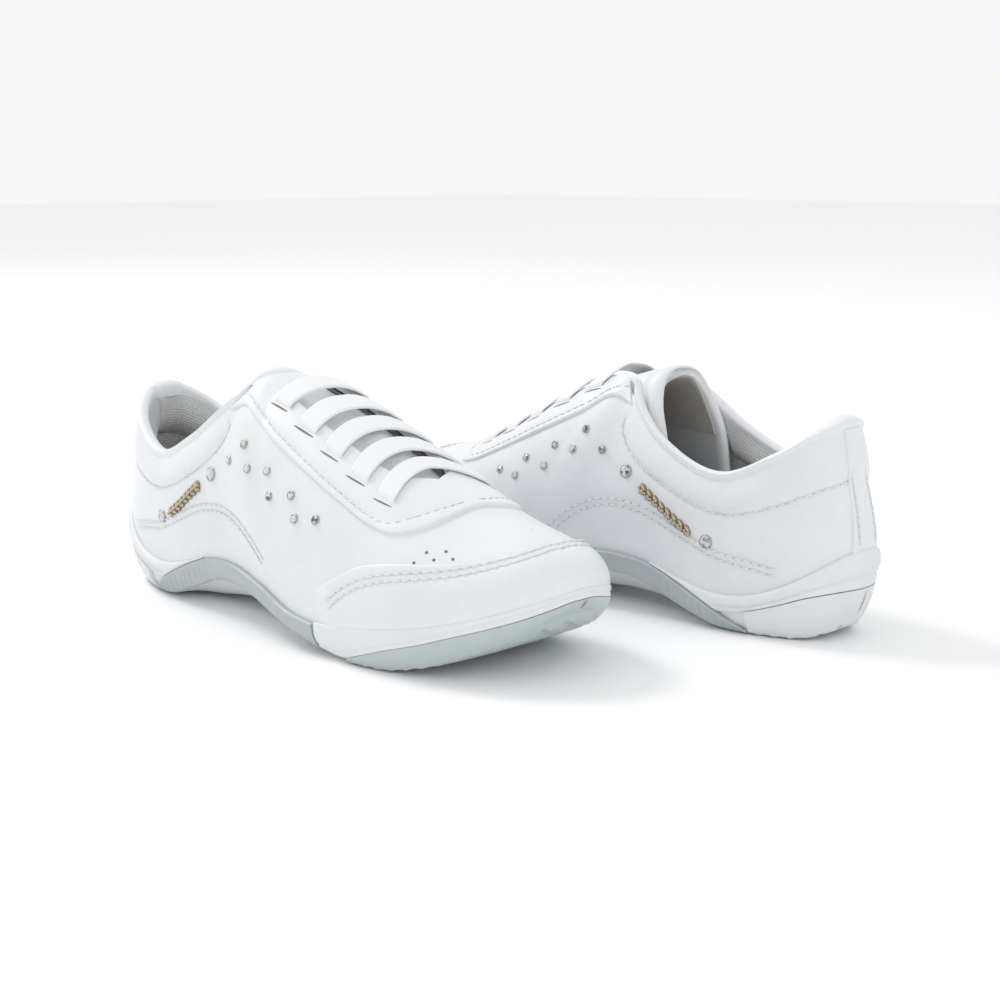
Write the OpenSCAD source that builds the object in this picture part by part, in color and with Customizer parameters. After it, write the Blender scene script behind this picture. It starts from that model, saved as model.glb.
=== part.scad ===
// Pair of low cheer shoes: stitched uppers with elastic lace bars on two-part soles.
// Each shoe is drawn as a right shoe, heel at the origin, toe towards +X, medial side +Y,
// ground at z = 0. The left shoe is its mirror image, set down beside it, toe the other way.

/* [Shoe] */
// Length of the upper where it meets the sole, heel to toe
last_len = 249.5; // [244:0.5:254]
// Width of the upper across the ball of the foot
ball_w = 82; // [80:0.5:84]
// Height of the collar at the back of the heel
heel_h = 84; // [82:0.5:86]

/* [Leather and linings] */
// Thickness of the vamp and quarters
leather = 1.2; // [1:0.1:1.3]
// Thickness of the overlays sewn on top
overlay = 1.1; // [0.8:0.1:1.3]
// Thickness of the padded collar at its fullest
collar_pad = 6.5; // [5:0.5:7]
// Thickness of the tongue padding
tongue_pad = 4.5; // [3.5:0.5:5]

/* [Sole] */
// How far the sole unit stands proud of the upper
ledge = 1.4; // [1.2:0.1:1.6]
// Thickness of the insole board
board = 1.8; // [1.5:0.1:2]
// Thickness of the removable sock liner
liner = 3.6; // [3:0.1:4]

/* [Elastic lace bars] */
// Number of lace bars on a shoe
bars = 5; // [5:1:5]
// Width of a lace bar
bar_w = 8; // [6:0.5:9]
// Thickness of a lace bar
bar_t = 1.3; // [1:0.1:1.5]

/* [Trim] */
// Diameter of a small rhinestone
small_stone = 3; // [2.8:0.1:3.4]
// Diameter of a large rhinestone
large_stone = 5; // [4.6:0.1:5.6]
// Length of the ornamental badge
badge_len = 29; // [26:0.5:30]
// Height of the badge
badge_h = 6.4; // [5:0.1:7]

/* [Pair] */
// Distance between the two heels along the shoes
heel_stagger = 304.5; // [290:0.5:320]
// Distance between the two centre lines
lane_gap = 121; // [110:0.5:130]

/* [Hidden] */
SHOE_NODES = [
    "forefoot_outsole", "heel_outsole", "midsole", "lateral_arch_band", "medial_arch_band",
    "heel_cup", "foxing", "insole_board", "shank", "sock_liner", "heel_counter", "toe_puff",
    "vamp", "toe_cap", "lateral_quarter", "medial_quarter", "eyestay", "back_strip",
    "padded_collar", "collar_lining", "tongue", "tongue_lining", "lace_bars",
    "small_stones", "small_settings", "large_stones", "large_settings", "badge", "badge_backing"
];

// ---- Station tables: [t, value], t runs from the heel (0) to the toe (1) ----
// Half width of the feather line as a share of the ball's half width, and its sideways shift
HALF_SHARE = [[0, 0], [0.1, 0.34], [0.2, 0.585], [0.3, 0.68], [0.4, 0.695], [0.5, 0.82],
              [0.6, 0.975], [0.7, 1], [0.8, 0.84], [0.9, 0.5], [1, 0]];
SWING = [[0, 0], [0.2, 0], [0.3, -0.5], [0.4, -1.8], [0.5, -1.5], [0.6, 1], [0.7, 4.5],
         [0.8, 8], [0.9, 10.5], [1, 11]];
// Height of the feather line, where the upper meets the sole unit
FEATHER_Z = [[0, 36], [0.03, 35.8], [0.1, 31.5], [0.2, 20], [0.25, 15.5], [0.3, 14.5],
             [0.35, 18], [0.4, 23], [0.45, 24], [0.5, 20.5], [0.55, 14.5], [0.6, 12.5],
             [0.7, 16], [0.8, 22], [0.9, 28.5], [0.97, 31.6], [1, 32]];
// Top line: collar rim as far as t = 0.5, then the ridge of the instep down to the toe
TOP_X = [[0, 15], [0.04, 15.5], [0.1, 18], [0.2, 33], [0.3, 56], [0.4, 82], [0.46, 100],
         [0.5, 110], [0.54, 120], [0.6, 144], [0.7, 178], [0.8, 204], [0.9, 222], [1, 230]];
TOP_HALF = [[0, 0], [0.1, 10.5], [0.2, 22], [0.3, 27], [0.4, 27], [0.46, 21], [0.5, 8],
            [0.54, 0], [0.56, 0], [0.6, 0], [1, 0]];
TOP_Z = [[0, 0], [0.04, 0], [0.1, -2], [0.2, -14], [0.3, -23], [0.4, -12.5], [0.46, 2.5],
         [0.5, 12.5], [0.54, 10.5], [0.6, 0], [0.7, -18], [0.8, -29], [0.9, -33], [1, -35]];
// Slope of the upper as it reaches the top line, in degrees above flat
TOP_SLOPE = [[0, 86], [0.2, 82], [0.3, 80], [0.4, 74], [0.46, 62], [0.5, 20], [0.54, 4],
             [0.6, 0], [0.7, 2], [0.8, 7], [0.9, 9], [1, 14]];
// Reach of the side curve's lower and upper control points, and the lower one's lean outwards
LOW_REACH = [[0, 12], [0.1, 14], [0.2, 16], [0.3, 18], [0.46, 28], [0.6, 30], [0.7, 26],
             [0.8, 18], [1, 10]];
TOP_REACH = [[0, 18], [0.3, 16], [0.46, 22], [0.5, 30], [0.54, 35], [0.6, 33], [0.7, 26],
             [0.8, 20], [1, 18]];
LEAN = [[0, 0], [0.1, 0.06], [0.3, 0.15], [0.5, 0.15], [0.7, 0.12], [0.85, 0.1], [1, 0.05]];
// Lower edge of the sole's side, and how far it is tucked in under the upper
EDGE_Z = [[0, 7], [0.03, 6.8], [0.1, 3], [0.16, 0.3], [0.2, 0], [0.26, 0], [0.3, 1], [0.34, 5],
          [0.37, 9], [0.4, 13], [0.44, 14.5], [0.48, 12.5], [0.52, 8], [0.56, 4.5], [0.6, 2],
          [0.64, 0], [0.69, 0], [0.75, 3.5], [0.8, 8], [0.85, 12.5], [0.9, 16.5],
          [0.97, 22.6], [1, 23]];
TUCK = [[0, 7], [0.2, 6], [0.3, 4], [0.44, 3], [0.6, 4], [0.8, 5], [1, 6]];
// Underside along the centre line, top of the tread blocks, and level of the insole board
KEEL_Z = [[0, 7], [0.03, 6.8], [0.1, 3], [0.16, 0.3], [0.2, 0], [0.26, 0], [0.35, 1.5],
          [0.4, 4], [0.44, 5], [0.48, 4], [0.52, 1.5], [0.56, 0.5], [0.62, 0], [0.69, 0],
          [0.75, 3], [0.8, 7.5], [0.85, 12], [0.9, 16], [0.97, 22.4], [1, 23]];
GROOVE_Z = [[0, 20.5], [0.08, 20], [0.15, 17.5], [0.2, 13.5], [0.25, 9.5], [0.3, 7.5],
            [0.34, 7.6], [0.6, 2.6], [0.635, 1.4], [0.66, 4], [0.7, 8.5], [0.75, 13], [0.8, 17.5],
            [0.9, 24.3], [0.97, 28], [1, 28.4]];
BOARD_Z = [[0, 23], [0.1, 22], [0.2, 19.5], [0.3, 17.5], [0.4, 17], [0.5, 14], [0.6, 10],
           [0.7, 12], [0.8, 19], [0.9, 26], [1, 30]];
// Upper edge of the arch band
BAND_Z = [[0.25, 1.3], [0.26, 2.5], [0.3, 9], [0.34, 15.3], [0.37, 19.5], [0.4, 22.8], [0.45, 23.8],
          [0.5, 20.3], [0.55, 14.3], [0.6, 12.3]];
// Outer edge of the eyestay and edge of the throat: share of the way up the side
STAY_V = [[0.46, 0.93], [0.51, 0.73], [0.55, 0.635], [0.6, 0.575], [0.65, 0.52], [0.69, 0.475],
          [0.72, 0.485], [0.76, 0.61], [0.79, 0.8], [0.81, 1]];
THROAT_V = [[0.49, 0.9], [0.51, 0.89], [0.55, 0.86], [0.6, 0.83], [0.65, 0.82], [0.69, 0.83], [0.71, 0.88],
            [0.73, 1]];
// Top of the toe cap and of the padded collar's stitched edge
CAP_V = [[0.6, 0.05], [0.64, 0.13], [0.68, 0.21], [0.75, 0.28], [0.82, 0.35], [0.89, 0.44],
         [0.95, 0.56], [1, 0.62]];
COLLAR_V = [[0, 0.58], [0.1, 0.58], [0.2, 0.62], [0.3, 0.68], [0.42, 0.68], [0.46, 0.7]];

// Free edge of the tongue, from its middle (0) to the end of a wing (1)
FLAP_X = [[0, 96], [0.12, 95.9], [0.35, 95], [0.6, 92], [0.8, 87], [1, 84]];
FLAP_Y = [[0, 0], [0.35, 10], [0.6, 16], [0.8, 18], [1, 17.5]];
FLAP_Z = [[0, 97], [0.12, 96.6], [0.35, 93.5], [0.6, 84.5], [0.8, 74], [1, 60]];

heel_x = 5.5;
throat_end = 0.73;
ridge_start = 0.54;
gap = 0.3;
// Stations this close together count as the same one
snug = 0.0005;

// ---- Curves and frames ----
function lerp(a, b, u) = a + (b - a) * u;
function unit(p) = p / norm(p);
function span(tab, t, i = 0) = i >= len(tab) - 2 || t < tab[i + 1][0] ? i : span(tab, t, i + 1);
function rise(tab, a, b) = (tab[b][1] - tab[a][1]) / (tab[b][0] - tab[a][0]);
function slope(tab, i) = rise(tab, max(i - 1, 0), min(i + 1, len(tab) - 1));
// Smooth curve through a station table
function along(tab, t) =
    let (i = span(tab, t), h = tab[i + 1][0] - tab[i][0], u = (t - tab[i][0]) / h)
    (2 * u^3 - 3 * u^2 + 1) * tab[i][1] + (u^3 - 2 * u^2 + u) * h * slope(tab, i)
    + (3 * u^2 - 2 * u^3) * tab[i + 1][1] + (u^3 - u^2) * h * slope(tab, i + 1);

// q runs round the shoe: 0 heel, 1 toe along the lateral side, then back along the medial side;
// below 0 it is the medial side of the heel
function t_of(q) = abs(q) <= 1 ? abs(q) : 2 - abs(q);
function side_of(q) = q < 0 || q > 1 ? 1 : -1;
function feather_x(t) = heel_x + last_len * (1 - cos(180 * t)) / 2;
function half_w(t) = ball_w / 2 * along(HALF_SHARE, t);
function top_z(t) = heel_h + along(TOP_Z, t);
function ridge(t) = [along(TOP_X, t), along(SWING, t), top_z(t)];
// Outward direction of the feather line, in plan
function out_dir(t, side) =
    let (e = 0.002, a = max(t - e, 0), b = min(t + e, 1),
         n = unit([half_w(b) - half_w(a), feather_x(b) - feather_x(a), 0]))
    [-n.x, side * n.y, 0];
// Point on the outside of the upper: q round the shoe, v from the feather line (0) to the top (1);
// below 0 it is the lasted margin that runs down inside the sole unit to the board
function upper(q, v) =
    let (t = t_of(q), side = side_of(q), w = 1 - v, out = out_dir(t, side), up = [0, 0, 1],
         foot = [feather_x(t), along(SWING, t) + side * half_w(t), along(FEATHER_Z, t)],
         head = [along(TOP_X, t), along(SWING, t) + side * max(along(TOP_HALF, t), 0), top_z(t)],
         low = foot + along(LOW_REACH, t) * (up + along(LEAN, t) * out),
         high = head - along(TOP_REACH, t)
                * (up * sin(along(TOP_SLOPE, t)) - out * cos(along(TOP_SLOPE, t))))
    v < 0 ? sole_side(q, foot.z + v * (foot.z - min(along(BOARD_Z, t), foot.z - 1)), 0)
    : w^3 * foot + 3 * w^2 * v * low + 3 * w * v^2 * high + v^3 * head;
function upper_out(q, v) =
    let (t = t_of(q), e = 0.003)
    v < 0 ? out_dir(t, side_of(q))
    : v > 0.998 && t >= ridge_start
      ? let (r = ridge(min(t + e, 1)) - ridge(t - e)) unit([-r.z, 0, r.x])
      : let (lo = max(v - e, 0), hi = min(v + e, 1))
        unit(cross(upper(q + e, v) - upper(q - e, v), upper(q, hi) - upper(q, lo)));
function skin(q, v, d) = upper(q, v) + d * upper_out(q, v);
// The same surface over the instep: w is 0 on the ridge, negative lateral, positive medial
function instep(t, w, d) = skin(w <= 0 ? t : 2 - t, 1 - abs(w), d);
// Side of the sole unit at height z
function sole_side(q, z, d) =
    let (t = t_of(q), side = side_of(q), lo = along(EDGE_Z, t), hi = along(FEATHER_Z, t),
         u = min(max((z - lo) / max(hi - lo, 1), 0), 1), out = out_dir(t, side))
    [feather_x(t), along(SWING, t) + side * half_w(t), z]
    + out * (d - along(TUCK, t) * (1 - u)^2.5);

// ---- Solids from grids ----
function strip_faces(a, b, c, d) = [[a, b, c], [a, c, d]];
// Closed shell between two grids of points. Rows run round the shoe and columns upwards;
// the top edge is walled only in the rows where seam[i] is false
module shell(outer, inner, seam = []) {
    n = len(outer) - 1;
    m = len(outer[0]) - 1;
    k = (n + 1) * (m + 1);
    function at(i, j) = i * (m + 1) + j;
    points = [for (grid = [outer, inner]) for (row = grid) each row];
    faces = [
        for (i = [0:n - 1]) for (j = [0:m - 1])
            each strip_faces(at(i, j), at(i, j + 1), at(i + 1, j + 1), at(i + 1, j)),
        for (i = [0:n - 1]) for (j = [0:m - 1])
            each strip_faces(k + at(i, j), k + at(i + 1, j), k + at(i + 1, j + 1), k + at(i, j + 1)),
        for (i = [0:n - 1])
            each strip_faces(at(i, 0), at(i + 1, 0), k + at(i + 1, 0), k + at(i, 0)),
        for (i = [0:n - 1]) if (len(seam) == 0 || !seam[i])
            each strip_faces(at(i + 1, m), at(i, m), k + at(i, m), k + at(i + 1, m)),
        for (j = [0:m - 1])
            each strip_faces(at(0, j + 1), at(0, j), k + at(0, j), k + at(0, j + 1)),
        for (j = [0:m - 1])
            each strip_faces(at(n, j), at(n, j + 1), k + at(n, j + 1), k + at(n, j))
    ];
    polyhedron(points, faces, convexity = 8);
}
// Rows from q0 to q1, held to a fine binary grid so that the two sides of a shoe meet exactly
function steps(q0, q1, n) = [for (i = [0:n]) round(lerp(q0, q1, i / n) * 4096) / 4096];
// Height share of column j of m; a panel with a lasted margin turns under in its first column
function column(lo, hi, j, m) =
    lo >= 0 ? lerp(lo, hi, j / m) : j == 0 ? lo : lerp(0, hi, (j - 1) / (m - 1));
// Panel of the upper over the given rows, from height share lo(t) to hi(t) in m columns,
// between depths in(u, t) and out(u, t), where u runs from 0 at the lower edge to 1 at the upper
module panel(rows, m, in, out, lo, hi, seam = []) {
    function depth(d, u, t) = is_function(d) ? d(u, t) : d;
    function grid(d) = [for (q = rows) [for (j = [0:m])
        skin(q, column(lo(t_of(q)), hi(t_of(q)), j, m), depth(d, j / m, t_of(q)))]];
    shell(grid(out), grid(in), seam);
}
// Strip of the sole's side over the given rows, from height lo(t) to hi(t)
module side_strip(rows, m, in, out, lo, hi) {
    function grid(d) = [for (q = rows) [for (j = [0:m])
        sole_side(q, lerp(lo(t_of(q)), hi(t_of(q)), j / m), d)]];
    shell(grid(out), grid(in));
}
// Filled slab over the given stations: top(t) above, bottom(t, share) below, where share
// runs from 0 at the edge to 1 on the centre line
module slab(stations, d, top, bottom, across = 6) {
    function out(t) = is_function(d) ? d(t) : d;
    function cut(t, g, z) = lerp(sole_side(t, z, out(t)), sole_side(2 - t, z, out(t)), g);
    function share(g) = 1 - abs(2 * g - 1);
    upper_face = [for (t = stations) [for (j = [0:across]) cut(t, j / across, top(t))]];
    lower_face = [for (t = stations) [for (j = [0:across])
        let (g = j / across, p = cut(t, g, bottom(t, 0))) [p.x, p.y, bottom(t, share(g))]]];
    shell(upper_face, lower_face);
}

// ---- Levels and edges ----
feather = function (t) along(FEATHER_Z, t);
groove = function (t) along(GROOVE_Z, t);
board_top = function (t) along(BOARD_Z, t) + board;
function ease(u) = let (k = min(max(u, 0), 1)) k * k * (3 - 2 * k);
// Underside of the sole, from its tucked edge to its keel on the centre line
underside = function (t, share)
    max(0, lerp(along(EDGE_Z, t), along(KEEL_Z, t), ease(share / 0.6)));
collar_edge = function (t) along(COLLAR_V, t);
// Lowest height share inside the shoe that is clear of the insole board
over_board = function (t) max(0.02, (board_top(t) + 1 - along(FEATHER_Z, t)) / 50);
// Top edge of a quarter: the collar rim, then down under the eyestay to the throat
rim_end = 0.45;
throat_start = 0.49;
quarter_top = function (t)
    t < rim_end ? 1
    : t < throat_start
      ? lerp(1, THROAT_V[0][1], ease((t - rim_end) / (throat_start - rim_end)))
      : along(THROAT_V, t);
vamp_top = function (t) t < throat_end - snug ? along(THROAT_V, t) : 1;

// ---- Sole unit ----
heel_end = 0.29;
band_start = 0.25;
cup_end = 0.35;
tread_start = 0.64;
// Share of the length left free where two sole pieces meet end to end
join = 0.0012;
tip = 0.985;
heel_tip = 0.02;
arch_start = heel_end + 2 * join;
arch_end = 0.6;
module forefoot_outsole() {
    color("gainsboro")
    slab(steps(tread_start, tip, 14), ledge, groove, underside);
}
module heel_outsole() {
    // Its sides step in where the arch bands lap over them
    stations = concat(steps(heel_tip, band_start - 2 * join, 8),
                      steps(band_start - join, heel_end, 3));
    color("whitesmoke")
    slab(stations, function (t) t < band_start - 1.5 * join ? ledge : 0, groove, underside);
}
shank_t = 1;
module midsole() {
    // Lowered over the arch, where the shank lies between it and the board
    top = function (t) along(BOARD_Z, t) - gap - (t > 0.3 && t < 0.58 ? shank_t : 0);
    bottom = function (t, share)
        t < arch_start - snug || t > tread_start - 2 * join ? groove(t) + gap : underside(t, share);
    stations = concat(steps(heel_tip, heel_end + join, 6),
                      steps(arch_start, tread_start - 3 * join, 13),
                      steps(tread_start - join, tip, 8));
    color("white") slab(stations, -leather - gap, top, bottom);
}
module arch_band(rows) {
    color([0.72, 0.77, 0.78])
    side_strip(rows, 2, gap, ledge + 0.4, function (t) along(EDGE_Z, t) + gap,
               function (t) along(BAND_Z, t));
}
module lateral_arch_band() {
    arch_band(steps(band_start, arch_end - 0.002, 18));
}
module medial_arch_band() {
    arch_band(steps(2 - arch_end + 0.002, 2 - band_start, 18));
}
module heel_cup() {
    // Its lower edge rises over the arch bands
    lo = function (t) gap + (t < band_start ? groove(t) : max(groove(t), along(BAND_Z, t)));
    color("white") side_strip(steps(-cup_end, cup_end, 24), 2, gap, ledge + 0.2, lo, feather);
}
module foxing() {
    color("white")
    side_strip(steps(arch_end, 2 - arch_end, 28), 2, gap, ledge,
               function (t) groove(t) + gap, feather);
}

// ---- Inside the sole ----
module insole_board() {
    color("tan")
    slab(steps(0.03, 0.975, 22), -leather - 2 * gap, board_top,
         function (t, share) along(BOARD_Z, t), 4);
}
module shank() {
    half = 7;
    function row(t, lift) = [for (side = [-1, 1])
        [feather_x(t), along(SWING, t) + side * half, along(BOARD_Z, t) - lift]];
    stations = steps(0.33, 0.55, 10);
    color("silver")
    shell([for (t = stations) row(t, 0.15)], [for (t = stations) row(t, shank_t)]);
}
module sock_liner() {
    color([0.66, 0.64, 0.62])
    slab(steps(0.05, 0.955, 22), -5.2, function (t) board_top(t) + gap + liner,
         function (t, share) board_top(t) + gap);
}
module heel_counter() {
    color("beige")
    panel(steps(-0.27, 0.27, 14), 4, -leather - gap - 0.9, -leather - gap,
          over_board, function (t) 0.5);
}
module toe_puff() {
    color("beige")
    panel(steps(0.82, 1.18, 10), 4, -leather - gap - 0.8, -leather - gap,
          over_board, function (t) 0.72);
}

// ---- Upper ----
module vamp() {
    side_rows = concat(steps(arch_end + 0.002, throat_end, 6), steps(throat_end + 0.025, 1, 10));
    rows = concat(side_rows, [for (i = [len(side_rows) - 2:-1:0]) 2 - side_rows[i]]);
    closed = [for (i = [0:len(rows) - 2])
        t_of(rows[i]) >= throat_end - snug && t_of(rows[i + 1]) >= throat_end - snug];
    color("white")
    panel(rows, 8, -leather, 0, function (t) -1, vamp_top, closed);
}
module quarter(rows) {
    color("white") panel(rows, 7, -leather, 0, function (t) -1, quarter_top);
}
module lateral_quarter() {
    quarter(steps(0.004, arch_end - 0.002, 22));
}
module medial_quarter() {
    quarter(steps(2 - arch_end + 0.002, 1.996, 22));
}
module toe_cap() {
    color("white")
    panel(steps(0.61, 1.39, 26), 3, gap, gap + overlay, function (t) 0.01,
          function (t) along(CAP_V, t));
}
module back_strip() {
    color("white")
    panel(steps(-0.045, 0.045, 4), 10, gap, gap + overlay, function (t) 0.02, function (t) 0.96);
}
module eyestay() {
    // Rows run from the lateral lobe round the front of the throat to the medial lobe
    n = 14;
    m = 3;
    function edge(tab, a) = let (t = lerp(tab[0][0], tab[len(tab) - 1][0], a)) [t, along(tab, t)];
    function spot(a, b) = lerp(edge(STAY_V, a), edge(THROAT_V, a), b);
    function row(a, side, d) = [for (j = [0:m])
        let (p = spot(a, j / m)) instep(p[0], side * max(1 - p[1], 0), d)];
    function grid(d) = concat([for (i = [0:n]) row(i / n, -1, d)],
                              [for (i = [n - 1:-1:0]) row(i / n, 1, d)]);
    color("white") shell(grid(gap + overlay), grid(gap));
}
module padded_collar() {
    // Thinner towards the ends, where the tongue passes
    pad = function (u, t) -leather - gap - 1.2
        - (collar_pad - 1.2) * sin(180 * u^0.8) * (1 - 0.6 * ease((t - 0.36) / 0.08));
    color("snow")
    panel(steps(-0.44, 0.44, 28), 6, pad, -leather - gap, collar_edge, function (t) 0.995);
}
module collar_lining() {
    depth = -leather - 2 * gap - 0.9;
    color([0.8, 0.82, 0.83])
    panel(steps(-0.44, 0.44, 24), 3, depth - 0.8, depth, over_board,
          function (t) collar_edge(t) - 0.02);
}

// ---- Tongue ----
// s runs from the tongue's sewn end (0) under the throat (1) to its free edge (1.4), w across it
// from the lateral wing (-1) to the medial one (1)
tongue_end = 0.735;
flap_start = 0.555;
flap_s = 1.4;
// Depth under the skin: the middle swells up in the open throat, then dips under the lobes
function under(s, w) =
    2.4 - 2.4 * ease(1 - abs(w) / 0.12) * ease((s - 0.12) / 0.3) * (1 - 2 * ease((s - 0.6) / 0.4));
// Point deep under the skin; the sheet is laid level across the ridge
function laid(s, w, deep) =
    let (t = lerp(tongue_end, flap_start, s), share = w * lerp(0.2, 0.42, s),
         n = instep(t, share, 1) - instep(t, share, 0))
    instep(t, share, 0) - deep * unit([n.x, n.y * ease(abs(share) / 0.12), n.z]);
function covered(s, w) = laid(s, w, under(s, w * lerp(0.2, 0.42, s)));
function free_edge(w) =
    [along(FLAP_X, abs(w)), sign(w) * along(FLAP_Y, abs(w)), along(FLAP_Z, abs(w))];
// Past s = 1 the sheet leaves the instep on its tangent and eases over to the free edge
function tongue_point(s, w) =
    s <= 1 ? covered(s, w)
    : let (e = 0.02, deep = under(1, 1),
           far = covered(1, w) + (s - 1) / e * (laid(1, w, deep) - laid(1 - e, w, deep)))
      lerp(far, free_edge(w), ease((s - 1) / (flap_s - 1)));
function tongue_out(s, w) =
    let (e = 0.01)
    unit(cross(tongue_point(s, w + e) - tongue_point(s, w - e),
               tongue_point(s + e, w) - tongue_point(s - e, w)));
module tongue_sheet(d_out, d_in, inset) {
    n = 15;
    across = 12;
    function grid(d) = [for (i = [inset:n]) [for (j = [inset:across - inset])
        let (s = (flap_s - 0.02) * (n - i) / n, w = 2 * j / across - 1)
        tongue_point(s, w) - d * tongue_out(s, w)]];
    shell(grid(d_out), grid(d_in));
}
module tongue() {
    color("white") tongue_sheet(0, tongue_pad, 0);
}
module tongue_lining() {
    color("dimgray") tongue_sheet(tongue_pad + 0.1, tongue_pad + 0.9, 1);
}

// ---- Elastic lace bars ----
first_bar = 0.555;
last_bar = 0.7;
module lace_bar(t, reach) {
    n = 12;
    half = bar_w / 2 / 400;
    function arch(u) = gap + overlay + 0.3 + 0.6 * sin(180 * u)^0.7;
    function grid(lift) = [for (i = [0:n]) [for (end = [1, -1])
        instep(t + end * half, reach * (2 * i / n - 1), arch(i / n) + lift)]];
    shell(grid(bar_t), grid(0));
}
module lace_bars() {
    color("white")
    for (k = [0:bars - 1])
        lace_bar(lerp(first_bar, last_bar, k / (bars - 1)), lerp(0.235, 0.39, k / (bars - 1)));
}

// ---- Trim ----
SMALL_AT = [[0.511, 0.565], [0.552, 0.495], [0.516, 0.468], [0.476, 0.56],
            [0.585, 0.455], [0.552, 0.405], [0.618, 0.405], [0.588, 0.375]];
LARGE_AT = [[0.435, 0.56], [0.306, 0.41]];
BADGE_AT = [[0.41, 0.53], [0.33, 0.42]];
// Stands its children on the upper at spot [t, v], their z axis along the outward direction
module stood(spot) {
    n = upper_out(spot[0], spot[1]);
    translate(upper(spot[0], spot[1])) rotate([0, acos(n.z), atan2(n.y, n.x)]) children();
}
module stone(d) {
    crown = 0.35 * d;
    translate([0, 0, 0.3]) cylinder(d = d - 0.1, h = 0.7, $fn = 24);
    translate([0, 0, 1]) cylinder(d1 = d - 0.1, d2 = d * 0.55, h = crown, $fn = 24);
}
module setting(d) {
    difference() {
        translate([0, 0, 0.2]) cylinder(d = d + 0.7, h = 0.9, $fn = 24);
        translate([0, 0, 0]) cylinder(d = d, h = 2, $fn = 24);
    }
}
module small_stones() {
    color("lightcyan") for (spot = SMALL_AT) stood(spot) stone(small_stone);
}
module small_settings() {
    color("silver") for (spot = SMALL_AT) stood(spot) setting(small_stone);
}
module large_stones() {
    color("lightcyan") for (spot = LARGE_AT) stood(spot) stone(large_stone);
}
module large_settings() {
    color("silver") for (spot = LARGE_AT) stood(spot) setting(large_stone);
}
// Plate that follows the upper between the badge's two ends
module plate(width, d0, d1) {
    n = 8;
    a = upper(BADGE_AT[0][0], BADGE_AT[0][1]);
    b = upper(BADGE_AT[1][0], BADGE_AT[1][1]);
    grow = badge_len / norm(b - a);
    half_v = width / 2 / 62;
    function grid(d) = [for (i = [0:n]) [for (j = [-1, 1])
        let (u = 0.5 + grow * (0.5 - i / n), p = lerp(BADGE_AT[0], BADGE_AT[1], u))
        skin(p[0], p[1] + j * half_v, d)]];
    shell(grid(d1), grid(d0));
}
module badge() {
    color("tan") plate(badge_h, 0.3, 2);
}
module badge_backing() {
    color("gray") plate(badge_h - 2, -leather - 0.9, -leather - 0.2);
}

// ---- The pair ----
// Sets a shoe down: the right one heel to -X, the left one mirrored and turned the other way
mid_y = -3.12;
module stand(foot) {
    if (foot == "right")
        translate([-heel_stagger / 2, mid_y - lane_gap / 2, 0]) children();
    else
        translate([heel_stagger / 2, mid_y + lane_gap / 2, 0])
        rotate([0, 0, 180]) mirror([0, 1, 0]) children();
}
for (foot = ["right", "left"]) stand(foot) {
    forefoot_outsole();
    heel_outsole();
    midsole();
    lateral_arch_band();
    medial_arch_band();
    heel_cup();
    foxing();
    insole_board();
    shank();
    sock_liner();
    heel_counter();
    toe_puff();
    vamp();
    toe_cap();
    lateral_quarter();
    medial_quarter();
    eyestay();
    back_strip();
    padded_collar();
    collar_lining();
    tongue();
    tongue_lining();
    lace_bars();
    small_stones();
    small_settings();
    large_stones();
    large_settings();
    badge();
    badge_backing();
}
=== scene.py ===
"""Pair of cheer shoes: the visual model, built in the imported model's own frame.

Each shoe is drawn in millimetres as a right shoe, heel at the origin, toe towards +X and medial
side +Y, then set down at its place in the pair in metres. The left shoe is the mirror image."""
import math

import bmesh
import bpy
import numpy as np
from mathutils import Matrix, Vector


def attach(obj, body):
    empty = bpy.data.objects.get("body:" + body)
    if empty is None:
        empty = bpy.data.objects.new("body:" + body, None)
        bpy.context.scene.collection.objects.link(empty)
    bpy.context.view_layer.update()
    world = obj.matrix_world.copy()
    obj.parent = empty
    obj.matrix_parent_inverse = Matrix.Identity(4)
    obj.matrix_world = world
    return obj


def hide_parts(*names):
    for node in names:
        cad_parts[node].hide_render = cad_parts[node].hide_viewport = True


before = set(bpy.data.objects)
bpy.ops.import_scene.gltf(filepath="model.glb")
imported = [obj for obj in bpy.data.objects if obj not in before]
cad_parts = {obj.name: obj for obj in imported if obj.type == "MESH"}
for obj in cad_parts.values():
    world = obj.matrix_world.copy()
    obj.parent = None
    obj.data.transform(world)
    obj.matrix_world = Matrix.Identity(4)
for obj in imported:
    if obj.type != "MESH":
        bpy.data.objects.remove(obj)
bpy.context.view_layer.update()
MM = 0.001
UP = np.array([0, 0, 1.0])

# ---- Sizes, in millimetres ----
LAST_LEN = 249.5
BALL_W = 82
HEEL_H = 84
HEEL_X = 5.5
LEATHER = 1.2
TONGUE_PAD = 4.5
LEDGE = 1.4
HEEL_STAGGER = 304.5
LANE_GAP = 121
MID_Y = -3.12
THROAT_END = 0.73
RIDGE_START = 0.54
QUARTER_END = 0.6
# Stations this close together count as the same one
SNUG = 0.0005

# ---- Station tables: [t, value], t runs from the heel (0) to the toe (1) ----
# Half width of the feather line as a share of the ball's half width, and its sideways shift
HALF_SHARE = [[0, 0], [0.1, 0.34], [0.2, 0.585], [0.3, 0.68], [0.4, 0.695], [0.5, 0.82],
              [0.6, 0.975], [0.7, 1], [0.8, 0.84], [0.9, 0.5], [1, 0]]
SWING = [[0, 0], [0.2, 0], [0.3, -0.5], [0.4, -1.8], [0.5, -1.5], [0.6, 1], [0.7, 4.5],
         [0.8, 8], [0.9, 10.5], [1, 11]]
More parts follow.
